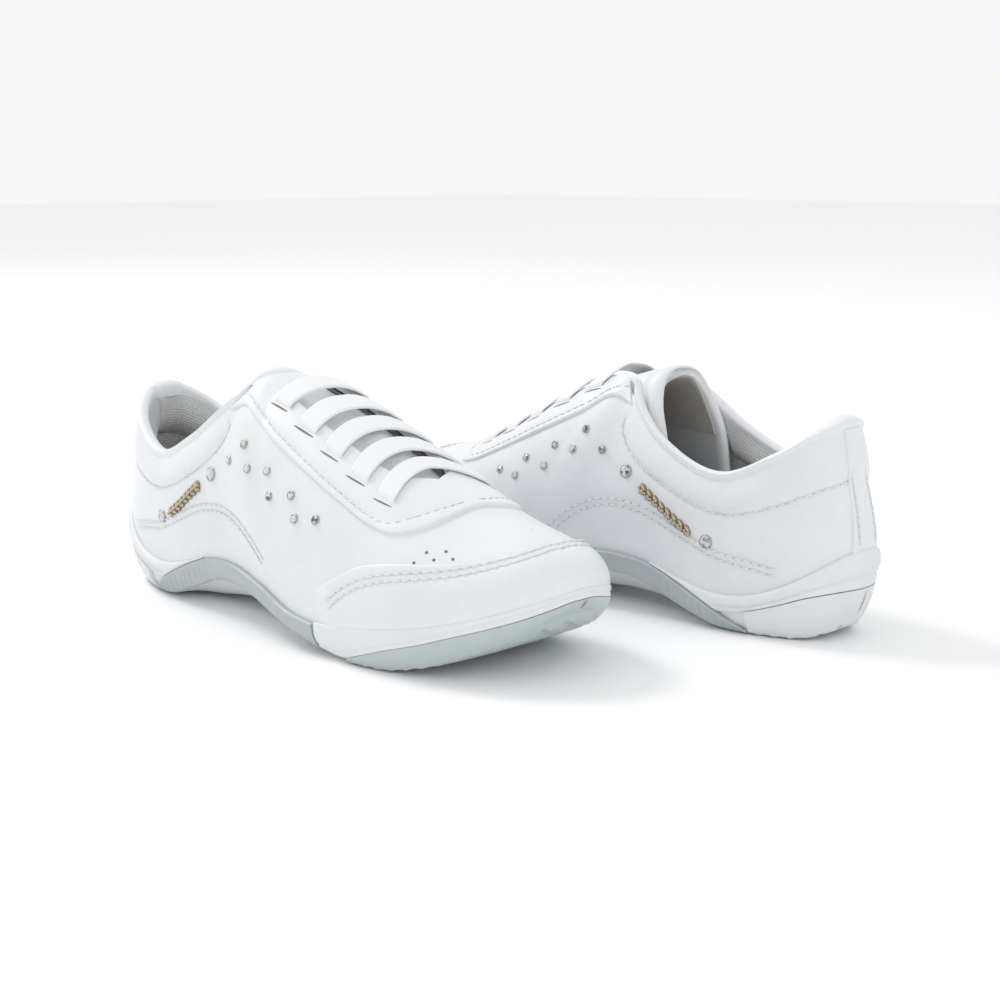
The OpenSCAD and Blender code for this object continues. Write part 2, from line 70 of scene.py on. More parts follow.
# Height of the feather line, where the upper meets the sole unit
FEATHER_Z = [[0, 36], [0.03, 35.8], [0.1, 31.5], [0.2, 20], [0.25, 15.5], [0.3, 14.5],
             [0.35, 18], [0.4, 23], [0.45, 24], [0.5, 20.5], [0.55, 14.5], [0.6, 12.5],
             [0.7, 16], [0.8, 22], [0.9, 28.5], [0.97, 31.6], [1, 32]]
# Top line: collar rim as far as t = 0.5, then the ridge of the instep down to the toe
TOP_X = [[0, 15], [0.04, 15.5], [0.1, 18], [0.2, 33], [0.3, 56], [0.4, 82], [0.46, 100],
         [0.5, 110], [0.54, 120], [0.6, 144], [0.7, 178], [0.8, 204], [0.9, 222], [1, 230]]
TOP_HALF = [[0, 0], [0.1, 10.5], [0.2, 22], [0.3, 27], [0.4, 27], [0.46, 21], [0.5, 8],
            [0.54, 0], [0.56, 0], [0.6, 0], [1, 0]]
TOP_Z = [[0, 0], [0.04, -0.3], [0.1, -2.9], [0.15, -7.5], [0.2, -13.8], [0.3, -23],
         [0.4, -12.5], [0.46, 2.5], [0.5, 12.5], [0.54, 10.5], [0.6, 0], [0.7, -18], [0.8, -29],
         [0.9, -33], [1, -35]]
# Slope of the upper as it reaches the top line, in degrees above flat
TOP_SLOPE = [[0, 86], [0.2, 82], [0.3, 80], [0.4, 74], [0.46, 62], [0.5, 20], [0.54, 4],
             [0.6, 0], [0.7, 2], [0.8, 7], [0.9, 9], [1, 14]]
# Reach of the side curve's lower and upper control points, and the lower one's lean outwards
LOW_REACH = [[0, 12], [0.1, 14], [0.2, 16], [0.3, 18], [0.46, 28], [0.6, 30], [0.7, 26],
             [0.8, 18], [1, 10]]
TOP_REACH = [[0, 18], [0.3, 16], [0.46, 22], [0.5, 30], [0.54, 35], [0.6, 33], [0.7, 26],
             [0.8, 20], [1, 18]]
LEAN = [[0, 0], [0.1, 0.06], [0.3, 0.15], [0.5, 0.15], [0.7, 0.12], [0.85, 0.1], [1, 0.05]]
# Lower edge of the sole's side, and how far it is tucked in under the upper
EDGE_Z = [[0, 7], [0.03, 6.8], [0.1, 3], [0.16, 0.3], [0.2, 0], [0.26, 0], [0.3, 1], [0.34, 5],
          [0.37, 9], [0.4, 13], [0.44, 14.5], [0.48, 12.5], [0.52, 8], [0.56, 4.5], [0.6, 2],
          [0.64, 0], [0.69, 0], [0.75, 3.5], [0.8, 8], [0.85, 12.5], [0.9, 16.5],
          [0.97, 22.6], [1, 23]]
TUCK = [[0, 7], [0.2, 6], [0.3, 4], [0.44, 3], [0.6, 4], [0.8, 5], [1, 6]]
# Underside along the centre line, top of the tread blocks, and level of the insole board
KEEL_Z = [[0, 7], [0.03, 6.8], [0.1, 3], [0.16, 0.3], [0.2, 0], [0.26, 0], [0.35, 1.5],
          [0.4, 4], [0.44, 5], [0.48, 4], [0.52, 1.5], [0.56, 0.5], [0.62, 0], [0.69, 0],
          [0.75, 3], [0.8, 7.5], [0.85, 12], [0.9, 16], [0.97, 22.4], [1, 23]]
GROOVE_Z = [[0, 20.5], [0.08, 20], [0.15, 17.5], [0.2, 13.5], [0.25, 9.5], [0.3, 7.5],
            [0.34, 7.6], [0.6, 2.6], [0.635, 1.4], [0.66, 4], [0.7, 8.5], [0.75, 13], [0.8, 17.5],
            [0.9, 24.3], [0.97, 28], [1, 28.4]]
BOARD_Z = [[0, 23], [0.1, 22], [0.2, 19.5], [0.3, 17.5], [0.4, 17], [0.5, 14], [0.6, 10],
           [0.7, 12], [0.8, 19], [0.9, 26], [1, 30]]
# Upper edge of the arch band
BAND_Z = [[0.25, 1.3], [0.26, 2.5], [0.3, 9], [0.34, 15.3], [0.37, 19.5], [0.4, 22.8], [0.45, 23.8],
          [0.5, 20.3], [0.55, 14.3], [0.6, 12.3]]
# Outer edge of the eyestay and edge of the throat: share of the way up the side
STAY_V = [[0.46, 0.93], [0.51, 0.73], [0.55, 0.635], [0.6, 0.575], [0.65, 0.52], [0.69, 0.475],
          [0.72, 0.485], [0.76, 0.61], [0.79, 0.8], [0.81, 1]]
THROAT_V = [[0.49, 0.9], [0.51, 0.89], [0.55, 0.86], [0.6, 0.83], [0.65, 0.82], [0.69, 0.83],
            [0.71, 0.88], [0.73, 1]]
# Top of the toe cap and of the padded collar's stitched edge
CAP_V = [[0.6, 0.05], [0.64, 0.13], [0.68, 0.21], [0.75, 0.28], [0.82, 0.35], [0.89, 0.44],
         [0.95, 0.56], [1, 0.62]]
COLLAR_V = [[0, 0.58], [0.1, 0.58], [0.2, 0.62], [0.3, 0.68], [0.42, 0.68], [0.46, 0.7]]

# Free edge of the tongue, from its middle (0) to the end of a wing (1)
FLAP_X = [[0, 96], [0.12, 95.9], [0.35, 95], [0.6, 92], [0.8, 87], [1, 84]]
FLAP_Y = [[0, 0], [0.35, 10.5], [0.6, 16.5], [0.8, 19.5], [1, 21]]
FLAP_Z = [[0, 97], [0.12, 96.6], [0.35, 93.5], [0.6, 83], [0.8, 68], [1, 45]]


# ---- Curves and surfaces, on arrays ----
def along(tab, t):
    """Smooth curve through a station table."""
    tab = np.asarray(tab, float)
    x, y = tab[:, 0], tab[:, 1]
    n = len(x)
    t = np.asarray(t, float)
    i = np.clip(np.searchsorted(x, t, side="right") - 1, 0, n - 2)
    a, b = np.maximum(np.arange(n) - 1, 0), np.minimum(np.arange(n) + 1, n - 1)
    m = (y[b] - y[a]) / (x[b] - x[a])
    h = x[i + 1] - x[i]
    u = (t - x[i]) / h
    return (
        (2 * u**3 - 3 * u**2 + 1) * y[i]
        + (u**3 - 2 * u**2 + u) * h * m[i]
        + (3 * u**2 - 2 * u**3) * y[i + 1]
        + (u**3 - u**2) * h * m[i + 1]
    )


def ease(u):
    k = np.clip(u, 0, 1)
    return k * k * (3 - 2 * k)


def lerp(a, b, u):
    return a + (b - a) * u


def vec(x, y, z):
    return np.stack(np.broadcast_arrays(x, y, z), -1).astype(float)


def unit(p):
    return p / np.maximum(np.linalg.norm(p, axis=-1, keepdims=True), 1e-9)


def t_of(q):
    return np.where(np.abs(q) <= 1, np.abs(q), 2 - np.abs(q))


def side_of(q):
    return np.where((q < 0) | (q > 1), 1.0, -1.0)


def feather_x(t):
    return HEEL_X + LAST_LEN * (1 - np.cos(np.pi * t)) / 2


def half_w(t):
    return BALL_W / 2 * along(HALF_SHARE, t)


def ridge(t):
    return vec(along(TOP_X, t), along(SWING, t), HEEL_H + along(TOP_Z, t))


def out_dir(t, side):
    e = 0.002
    a, b = np.maximum(t - e, 0), np.minimum(t + e, 1)
    n = unit(vec(half_w(b) - half_w(a), feather_x(b) - feather_x(a), 0))
    return vec(-n[..., 0], side * n[..., 1], 0)


def sole_side(q, z, d):
    """Point on the side of the sole unit at height z, d proud of it."""
    t = t_of(q)
    side = side_of(q)
    lo, hi = along(EDGE_Z, t), along(FEATHER_Z, t)
    u = np.clip((z - lo) / np.maximum(hi - lo, 1), 0, 1)
    rim = vec(feather_x(t), along(SWING, t) + side * half_w(t), z)
    return rim + out_dir(t, side) * (d - along(TUCK, t) * (1 - u) ** 2.5)[..., None]


def upper(q, v):
    """Outside of the upper: q round the shoe, v from the feather line (0) to the top (1)."""
    q, v = np.broadcast_arrays(np.asarray(q, float), np.asarray(v, float))
    t, side = t_of(q), side_of(q)
    w, u = (1 - v)[..., None], v[..., None]
    out = out_dir(t, side)
    foot = vec(feather_x(t), along(SWING, t) + side * half_w(t), along(FEATHER_Z, t))
    half = np.maximum(along(TOP_HALF, t), 0)
    head = vec(along(TOP_X, t), along(SWING, t) + side * half, HEEL_H + along(TOP_Z, t))
    slope = np.radians(along(TOP_SLOPE, t))[..., None]
    low = foot + along(LOW_REACH, t)[..., None] * (UP + along(LEAN, t)[..., None] * out)
    high = head - along(TOP_REACH, t)[..., None] * (UP * np.sin(slope) - out * np.cos(slope))
    body = w**3 * foot + 3 * w**2 * u * low + 3 * w * u**2 * high + u**3 * head
    z = foot[..., 2] + v * (foot[..., 2] - np.minimum(along(BOARD_Z, t), foot[..., 2] - 1))
    return np.where(v[..., None] < 0, sole_side(q, z, np.zeros_like(z)), body)


def upper_out(q, v):
    q, v = np.broadcast_arrays(np.asarray(q, float), np.asarray(v, float))
    t, e = t_of(q), 0.003
    vv = np.maximum(v, 0)
    lo, hi = np.maximum(vv - e, 0), np.minimum(vv + e, 1)
    n = unit(np.cross(upper(q + e, vv) - upper(q - e, vv), upper(q, hi) - upper(q, lo)))
    r = ridge(np.minimum(t + e, 1)) - ridge(t - e)
    n = np.where(((vv > 0.998) & (t >= RIDGE_START))[..., None], unit(vec(-r[..., 2], 0, r[..., 0])), n)
    return np.where((v < 0)[..., None], out_dir(t, side_of(q)), n)


def skin(q, v, d):
    d = np.broadcast_to(np.asarray(d, float), np.broadcast(q, v).shape)
    return upper(q, v) + d[..., None] * upper_out(q, v)


def instep(t, w, d):
    t, w = np.broadcast_arrays(np.asarray(t, float), np.asarray(w, float))
    return skin(np.where(w <= 0, t, 2 - t), 1 - np.abs(w), d)


def quarter_top(t):
    start = 0.49
    down = lerp(1, THROAT_V[0][1], ease((t - 0.45) / (start - 0.45)))
    return np.where(t < 0.45, 1, np.where(t < start, down, along(THROAT_V, t)))


# ---- Meshes ----
def place(foot, p):
    """Shoe frame in millimetres to the row frame in metres."""
    p = np.asarray(p, float)
    if foot == "right":
        q = vec(p[..., 0] - HEEL_STAGGER / 2, p[..., 1] + MID_Y - LANE_GAP / 2, p[..., 2])
    else:
        q = vec(HEEL_STAGGER / 2 - p[..., 0], p[..., 1] + MID_Y + LANE_GAP / 2, p[..., 2])
    return q * MM


def add_piece(foot, name, verts, faces, material, slot, stands_for=(), uv=None, flap=False, sharp=50,
              recalc=True):
    mesh = bpy.data.meshes.new(f"{foot}_{name}_mesh")
    mesh.from_pydata(place(foot, verts).tolist(), [], faces)
    if recalc:
        bm = bmesh.new()
        bm.from_mesh(mesh)
        bmesh.ops.recalc_face_normals(bm, faces=bm.faces)
        bm.to_mesh(mesh)
        bm.free()
    mesh.shade_smooth()
    mesh.set_sharp_from_angle(angle=math.radians(sharp))
    if uv is not None:
        layer = mesh.uv_layers.new(name="weave")
        index = np.zeros(len(mesh.loops), np.int32)
        mesh.loops.foreach_get("vertex_index", index)
        layer.data.foreach_set("uv", np.asarray(uv, np.float32)[index].ravel())
    mesh.materials.append(material)
    piece = bpy.data.objects.new(f"{foot}_{name}", mesh)
    bpy.context.scene.collection.objects.link(piece)
    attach(piece, f"{foot}_tongue_flap" if flap else f"{foot}_shoe")
    if stands_for:
        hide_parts(*[f"{foot}_{n}" for n in stands_for])
    return piece


def shell_faces(n, m):
    """Quads of a closed shell made of an outer and an inner grid of n by m points."""
    at = np.arange(n * m).reshape(n, m)
    k = n * m
    a, b, c, d = at[:-1, :-1], at[1:, :-1], at[1:, 1:], at[:-1, 1:]
    quads = [np.stack([a, b, c, d], -1).reshape(-1, 4), np.stack([a, d, c, b], -1).reshape(-1, 4) + k]
    for line in (at[:, 0], at[:, -1][::-1], at[0][::-1], at[-1]):
        quads.append(np.stack([line[1:], line[:-1], line[:-1] + k, line[1:] + k], -1))
    return np.concatenate(quads).tolist()


def shell(outer, inner):
    n, m = outer.shape[:2]
    verts = np.concatenate([outer.reshape(-1, 3), inner.reshape(-1, 3)])
    return verts, shell_faces(n, m)


def loft(sections):
    """Closed skin over a run of closed section loops: sections is (n, k, 3)."""
    n, k = sections.shape[:2]
    at = np.arange(n * k).reshape(n, k)
    nxt = np.roll(at, -1, axis=1)
    quads = np.stack([at[:-1], at[1:], nxt[1:], nxt[:-1]], -1).reshape(-1, 4).tolist()
    quads += [at[0].tolist(), at[-1][::-1].tolist()]
    return sections.reshape(-1, 3), quads


def gather(solids):
    """Several closed skins as one mesh."""
    verts, faces, at = [], [], 0
    for v, f in solids:
        verts.append(v)
        faces += [[i + at for i in face] for face in f]
        at += len(v)
    return np.concatenate(verts), faces


def lengths(p, axis):
    """Running length in millimetres along one axis of a grid of points."""
    step = np.linalg.norm(np.diff(p, axis=axis), axis=-1)
    shape = list(step.shape)
    shape[axis] = 1
    return np.concatenate([np.zeros(shape), np.cumsum(step, axis=axis)], axis=axis)


def weave(p):
    """Weave map of a grid of points: running lengths along and across it, in centimetres."""
    return np.stack([lengths(p, 0), lengths(p, 1)], -1) * 0.1


def rounded(x, r):
    """Profile of a rounded edge: 0 at the edge, 1 from r inwards."""
    k = np.clip(x / r, 0, 1)
    return np.sqrt(np.maximum(1 - (1 - k) ** 2, 0))


def spread(n, bunch=0.5):
    """n shares from 0 to 1, closer together at both ends."""
    u = np.linspace(0, 1, n)
    return lerp(u, (1 - np.cos(np.pi * u)) / 2, bunch)


# ---- Seams ----
class Seam:
    """A line of stitches over the upper, through the given (q, v) stations."""

    def __init__(self, stations, lift=0.0, shift=0.0, pitch=3.6):
        st = np.asarray(stations, float)
        u = np.arange(len(st))
        fine = np.linspace(0, len(st) - 1, 40 * len(st))
        q = along(np.stack([u, st[:, 0]], 1), fine)
        v = np.clip(along(np.stack([u, st[:, 1]], 1), fine), 0.0, 1)
        p = upper(q, v)
        run = lengths(p, 0)
        count = max(int(run[-1] / pitch), 2)
        self.pitch = run[-1] / count
        at = (np.arange(count) + 0.5) * self.pitch
        self.q, self.v = np.interp(at, run, q), np.interp(at, run, v)
        self.n = upper_out(self.q, self.v)
        centre = np.stack([np.interp(at, run, p[:, i]) for i in range(3)], -1)
        self.t = unit(np.gradient(centre, axis=0))
        self.b = unit(np.cross(self.n, self.t))
        self.p = centre + self.b * shift
        dense = np.linspace(0, run[-1], max(int(run[-1] / 0.8), 4))
        line = np.stack([np.interp(dense, run, p[:, i]) for i in range(3)], -1)
        side = np.stack([np.interp(dense, at, self.b[:, i]) for i in range(3)], -1)
        self.line = line + side * shift
        self.lift = lift


def crease(points, seams, depth, width=1.1):
    """How far the skin is pulled in at each point by the seams near it."""
    flat = points.reshape(-1, 3)
    lines = np.concatenate([s.line for s in seams])
    best = np.full(len(flat), 1e9)
    cell = 6.0
    keys = {}
    for i, c in enumerate(np.floor(lines / cell).astype(int)):
        keys.setdefault(tuple(c), []).append(i)
    where = np.floor(flat / cell).astype(int)
    order = np.lexsort(where.T)
    same = np.any(np.diff(where[order], axis=0) != 0, axis=1)
    for group in np.split(order, np.nonzero(same)[0] + 1):
        c = where[group[0]]
        near = [i for dx in (-1, 0, 1) for dy in (-1, 0, 1) for dz in (-1, 0, 1)
                for i in keys.get((c[0] + dx, c[1] + dy, c[2] + dz), ())]
        if near:
            gap = np.linalg.norm(flat[group][:, None] - lines[near][None], axis=-1)
            best[group] = gap.min(1)
    return (depth * np.exp(-((best / width) ** 2))).reshape(points.shape[:-1])


def stitches(seams, length=2.7, thick=0.62):
    """Thread: one short arched bead for each stitch, its ends sunk into the leather."""
    ring = np.linspace(0, 2 * np.pi, 6, endpoint=False)
    stops = np.array([-1, -0.72, 0, 0.72, 1])
    size = np.array([0.3, 0.9, 1, 0.9, 0.3])
    rise = np.array([-0.22, 0.1, 0.2, 0.1, -0.22])
    p = np.concatenate([s.p + s.n * s.lift for s in seams])
    t, n, b = (np.concatenate([getattr(s, a) for s in seams]) for a in ("t", "n", "b"))
    long = np.concatenate([np.full(len(s.p), min(length, s.pitch * 0.8)) for s in seams])
    rings = (
        p[:, None, None]
        + t[:, None, None] * (stops[None, :, None, None] * long[:, None, None, None] / 2)
        + n[:, None, None] * rise[None, :, None, None]
        + (b[:, None, None] * np.cos(ring)[None, None, :, None]
           + n[:, None, None] * np.sin(ring)[None, None, :, None] * 0.75)
        * (size[None, :, None, None] * thick / 2)
    )
    verts = rings.reshape(-1, 3)
    count, each = len(p), len(stops) * 6
    at = np.arange(each).reshape(len(stops), 6)
    nxt = np.roll(at, -1, axis=1)
    quads = np.stack([at[:-1], nxt[:-1], nxt[1:], at[1:]], -1).reshape(-1, 4)
    offs = (np.arange(count) * each)[:, None, None]
    faces = (quads[None] + offs).reshape(-1, 4).tolist()
    caps = np.stack([at[0][::-1], at[-1]])[None] + offs
    return verts, faces + caps.reshape(-1, 6).tolist()


def dots(centres, normals, radius, rise, sides=8):
    """Small discs set in the skin for needle holes and air holes, coloured darker as painted shade in the
    holes.
    """
    ref = unit(np.cross(normals, np.array([0.3, 0.2, 1.0])))
    other = np.cross(normals, ref)
    ring = np.linspace(0, 2 * np.pi, sides, endpoint=False)
    rim = centres[:, None] + radius * (ref[:, None] * np.cos(ring)[None, :, None]
                                       + other[:, None] * np.sin(ring)[None, :, None])
    top = rim + normals[:, None] * rise
    low = rim - normals[:, None] * 0.3
    verts = np.concatenate([top, low], axis=1).reshape(-1, 3)
    at = np.arange(sides)
    nxt = np.roll(at, -1)
    wall = np.stack([at, at + sides, nxt + sides, nxt], -1)
    offs = np.arange(len(centres)) * 2 * sides
    faces = (wall[None] + offs[:, None, None]).reshape(-1, 4).tolist()
    caps = np.stack([at, (at + sides)[::-1]])[None] + offs[:, None, None]
    return verts, faces + caps.reshape(-1, sides).tolist()


# ---- Materials ----
class Paint:
    """A procedural material, built up from texture nodes in the piece's own coordinates."""

    def __init__(self, name, **sockets):
        self.mat = bpy.data.materials.new(name)
        self.mat.use_nodes = True
        self.tree = self.mat.node_tree
        self.bsdf = self.tree.nodes["Principled BSDF"]
        self.coord = self.tree.nodes.new("ShaderNodeTexCoord")
        for socket, value in sockets.items():
            self.bsdf.inputs[socket.replace("_", " ")].default_value = value
        self.bump = None

    def node(self, kind, inputs=(), **settings):
        n = self.tree.nodes.new("ShaderNode" + kind)
        for key, value in settings.items():
            setattr(n, key, value)
        for socket, value in dict(inputs).items():
            if isinstance(value, bpy.types.NodeSocket):
                self.tree.links.new(value, n.inputs[socket])
            else:
                n.inputs[socket].default_value = value
        return n

    def noise(self, scale, detail=2.0):
        place_in = self.coord.outputs["Object"]
        n = self.node("TexNoise", {"Vector": place_in, "Scale": scale, "Detail": detail})
        return n.outputs["Fac"]

    def cells(self, scale):
        n = self.node("TexVoronoi", {"Vector": self.coord.outputs["Object"], "Scale": scale},
                      feature="DISTANCE_TO_EDGE")
        return n.outputs["Distance"]

    def waves(self, scale, direction, distort):
        n = self.node("TexWave", {"Vector": self.coord.outputs["UV"], "Scale": scale,
                                  "Distortion": distort}, bands_direction=direction)
        return n.outputs["Fac"]

    def maths(self, operation, a, b):
        return self.node("Math", {0: a, 1: b}, operation=operation).outputs[0]

    def spans(self, value, lo, hi, out_lo, out_hi):
        n = self.node("MapRange", {"Value": value, "From Min": lo, "From Max": hi,
                                   "To Min": out_lo, "To Max": out_hi})
        return n.outputs["Result"]

    def blend(self, fac, a, b):
        ramp = self.node("ValToRGB", {"Fac": fac})
        ramp.color_ramp.elements[0].color = (*a, 1)
        ramp.color_ramp.elements[1].color = (*b, 1)
        return ramp.outputs["Color"]

    def set(self, socket, value):
        self.tree.links.new(value, self.bsdf.inputs[socket])

    def press(self, height, distance, strength=1.0):
        inputs = {"Height": height, "Distance": distance, "Strength": strength}
        if self.bump is not None:
            inputs["Normal"] = self.bump
        self.bump = self.node("Bump", inputs).outputs["Normal"]
        self.set("Normal", self.bump)


def tint(colour, share):
    return tuple(c * share for c in colour)


def grained(name, colour, rough, grain, depth, shade=0.93, **sockets):
    """Leather and moulded surfaces: a fine grain, faint clouding, and scuffs in the sheen."""
    p = Paint(name, **sockets)
    cloud = p.noise(38, 3)
    fine = p.noise(420, 2)
    both = p.maths("MULTIPLY_ADD", fine, 0.35)
    p.tree.links.new(cloud, both.node.inputs[2])
    p.set("Base Color", p.blend(p.spans(both, 0.35, 0.95, 0, 1), tint(colour, shade), colour))
    p.set("Roughness", p.spans(p.noise(150, 4), 0.3, 0.7, rough - 0.06, rough + 0.06))
    p.press(p.cells(grain), depth, 0.5)
    p.press(p.noise(grain * 1.7, 3), depth * 0.6, 0.4)
    return p.mat


def knitted(name, colour, dark, pitch, depth):
    """A knitted lining: rows of small loops with painted shade in the gaps between them, on the weave map.
    """
    p = Paint(name)
    loops = p.maths("MULTIPLY", p.waves(pitch, "X", 0.4), p.waves(pitch * 0.8, "Y", 0.4))
    fuzz = p.noise(900, 3)
    # Painted shade: the second colour darkens the gaps between the loops, where shadow falls
    p.set("Base Color", p.blend(p.maths("MULTIPLY_ADD", loops, 0.75), dark, colour))
    p.set("Roughness", p.spans(fuzz, 0.3, 0.7, 0.77, 0.93))
    p.press(loops, depth)
    p.press(fuzz, depth * 0.3, 0.5)
    return p.mat


def ribbed(name, colour, pitch, depth):
    """Woven elastic: fine lengthwise cords crossed by a tight weft."""
    p = Paint(name)
    cords, weft = p.waves(pitch, "Y", 0.1), p.waves(pitch * 2.2, "X", 0.3)
    p.set("Base Color", p.blend(p.maths("MULTIPLY_ADD", cords, 0.8), tint(colour, 0.92), colour))
    p.set("Roughness", p.spans(weft, 0, 1, 0.54, 0.7))
    p.press(cords, depth)
    p.press(weft, depth * 0.4, 0.6)
    return p.mat


def polished(name, colour, rough):
    """Plated metal: slight clouding of the plate and fine hairline wear."""
    p = Paint(name, Metallic=1.0)
    p.set("Base Color", p.blend(p.noise(300, 3), tint(colour, 0.8), colour))
    p.set("Roughness", p.spans(p.noise(900, 4), 0.3, 0.7, rough * 0.7, rough * 1.4))
    p.press(p.noise(1500, 2), 0.00002, 0.4)
    return p.mat


WHITE = (0.765, 0.785, 0.81)
LEATHER_MAT = grained("white_leather", WHITE, 0.42, 820, 0.00009, Specular_IOR_Level=0.45,
                      Coat_Weight=0.08, Coat_Roughness=0.35)
OVERLAY_MAT = grained("overlay_leather", tint(WHITE, 1.01), 0.38, 900, 0.00008, Specular_IOR_Level=0.5,
                      Coat_Weight=0.12, Coat_Roughness=0.3)
FOAM_MAT = grained("midsole_foam", tint(WHITE, 0.98), 0.62, 600, 0.00006)
SIDE_MAT = grained("moulded_side", tint(WHITE, 0.99), 0.5, 1300, 0.00004, Specular_IOR_Level=0.4)
TREAD_MAT = grained("tread_rubber", (0.50, 0.56, 0.57), 0.46, 1100, 0.00005, shade=0.9,
                    Subsurface_Weight=0.15, Subsurface_Radius=(0.004, 0.004, 0.004))
BAND_MAT = grained("grey_band", (0.42, 0.47, 0.48), 0.36, 1500, 0.00004, shade=0.9,
                   Specular_IOR_Level=0.55)
HEEL_TREAD_MAT = grained("heel_rubber", (0.74, 0.76, 0.77), 0.5, 1100, 0.00005, shade=0.92)
BOARD_MAT = grained("fibre_board", (0.36, 0.26, 0.16), 0.8, 500, 0.0001, shade=0.75)
STIFF_MAT = grained("stiffener_sheet", (0.62, 0.55, 0.42), 0.75, 500, 0.0001, shade=0.8)
THREAD_MAT = ribbed("white_thread", tint(WHITE, 1.02), 30, 0.00003)
# Painted shade: light grey for the needle holes, standing in for the shadow in each pierced hole
NEEDLE_HOLE_SHADE_MAT = grained("needle_hole", (0.68, 0.69, 0.7), 0.9, 1500, 0.00002, shade=0.7)
# Painted shade: dark grey for the slit mouths and air holes, standing in for the shadow inside them
SHADOW_GAP_MAT = grained("shadow_gap", (0.22, 0.22, 0.22), 0.9, 1500, 0.00002, shade=0.7)
KNIT_MAT = knitted("lining_knit", (0.76, 0.77, 0.78), (0.40, 0.405, 0.41), 3.2, 0.0003)
TONGUE_KNIT_MAT = knitted("tongue_knit", (0.70, 0.675, 0.64), (0.5, 0.48, 0.45), 3.6, 0.0001)
# Painted shade: near-black knit for the strip in the throat gap, standing in for the deep shadow between
# the tongue and the eyestay
THROAT_SHADE_MAT = knitted("throat_painted_shade", (0.24, 0.225, 0.2), (0.08, 0.07, 0.065), 3.6, 0.00025)
SOCK_MAT = knitted("sock_cloth", (0.28, 0.27, 0.255), (0.14, 0.135, 0.13), 4.5, 0.0002)
ELASTIC_MAT = ribbed("white_elastic", tint(WHITE, 1.13), 4.5, 0.0001)
STEEL_MAT = polished("spring_steel", (0.6, 0.61, 0.63), 0.3)
CUP_MAT = polished("stone_cup", (0.50, 0.49, 0.46), 0.3)
BADGE_MAT = polished("champagne_metal", (0.56, 0.49, 0.36), 0.26)
# Painted shade: dark bronze for the badge's backing, standing in for the shadow between the leaves
BADGE_SHADE_MAT = polished("badge_shade_bronze", (0.24, 0.21, 0.16), 0.35)


def crystal_material():
    p = Paint("clear_stone", Transmission_Weight=0.35, IOR=1.7, Specular_IOR_Level=0.9)
    # Painted reflections: random near-black and near-white cells in the base colour stand in for dark and
    # light surroundings mirrored in the facets
    facets = p.node("TexVoronoi", {"Vector": p.coord.outputs["Object"], "Scale": 620.0}, feature="F1")
    cell = p.node("SeparateColor", {"Color": facets.outputs["Color"]}).outputs["Red"]
    p.set("Base Color", p.blend(p.spans(cell, 0.05, 0.4, 0, 1), (0.1, 0.1, 0.105), (0.96, 0.97, 0.98)))
    p.set("Roughness", p.spans(p.noise(500, 2), 0.3, 0.7, 0.02, 0.09))
    return p.mat


STONE_MAT = crystal_material()


# ---- Grids over the upper ----
def edge_columns(length, step, near=(0.25, 0.7, 1.3)):
    """Shares across a panel: even in the middle, closer together along both edges."""
    n = max(int(length / step), 4)
    inner = np.linspace(near[-1] / length * 1.6, 1 - near[-1] / length * 1.6, n)
    lo = np.array((0,) + near) / length
    return np.concatenate([lo, inner, (1 - lo)[::-1]])


def clouded(points, size, depth):
    """Low waves in the leather, the same for the same place on either shoe."""
    p = points / size
    return depth * (
        np.sin(p[..., 0] * 1.3 + 2 * np.sin(p[..., 2] * 0.9)) * np.sin(p[..., 2] * 1.7 + p[..., 1])
        + 0.5 * np.sin(p[..., 0] * 2.9 + p[..., 2] * 2.1) * np.sin(p[..., 1] * 2.3 - p[..., 2])
    )


def sheet_grid(q, lo, hi, cols, seams, puff, round_at=(False, True)):
    """Outer and inner points of a leather panel, and its weave map."""
    q = np.asarray(q, float)[:, None]
    t = t_of(q)
    v = lo(t) + (hi(t) - lo(t)) * np.asarray(cols)[None]
    base = upper(q, v)
    up_run = lengths(base, 1)
    d = clouded(base, 14, 0.1) + puff(q, v) - crease(base, seams, 0.4)
    whole = up_run[:, -1:]
    for on, away in zip(round_at, (up_run, whole - up_run)):
        if on:
            d = d - (1 - rounded(away, 0.9)) * LEATHER * 0.55
    out = skin(q, v, d)
    inner = skin(q, v, -LEATHER)
    return out, inner, weave(base)


def shell_piece(foot, name, out, inner, uv, material, slot, stands_for=(), closed_top=None, **more):
    n, m = out.shape[:2]
    verts, faces = shell(out, inner)
    if closed_top is not None:
        # Rows whose top edges meet over the ridge get no wall there
        top = np.arange(n * m).reshape(n, m)[:, -1]
        drop = {frozenset((int(top[i]), int(top[i + 1]))) for i in range(n - 1) if closed_top[i]}
        faces = [f for f in faces if not any(
            frozenset(pair) in drop and max(f) >= n * m
            for pair in zip(f, f[1:] + f[:1]))]
    both = np.concatenate([uv.reshape(-1, 2)] * 2)
    return add_piece(foot, name, verts, faces, material, slot, stands_for, both, **more)


def weld(piece):
    """Joins points that lie on each other, so that a skin closes along the ridge."""
    bm = bmesh.new()
    bm.from_mesh(piece.data)
    bmesh.ops.remove_doubles(bm, verts=bm.verts, dist=0.02 * MM)
    bmesh.ops.recalc_face_normals(bm, faces=bm.faces)
    bm.to_mesh(piece.data)
    bm.free()
    piece.data.set_sharp_from_angle(angle=math.radians(60))


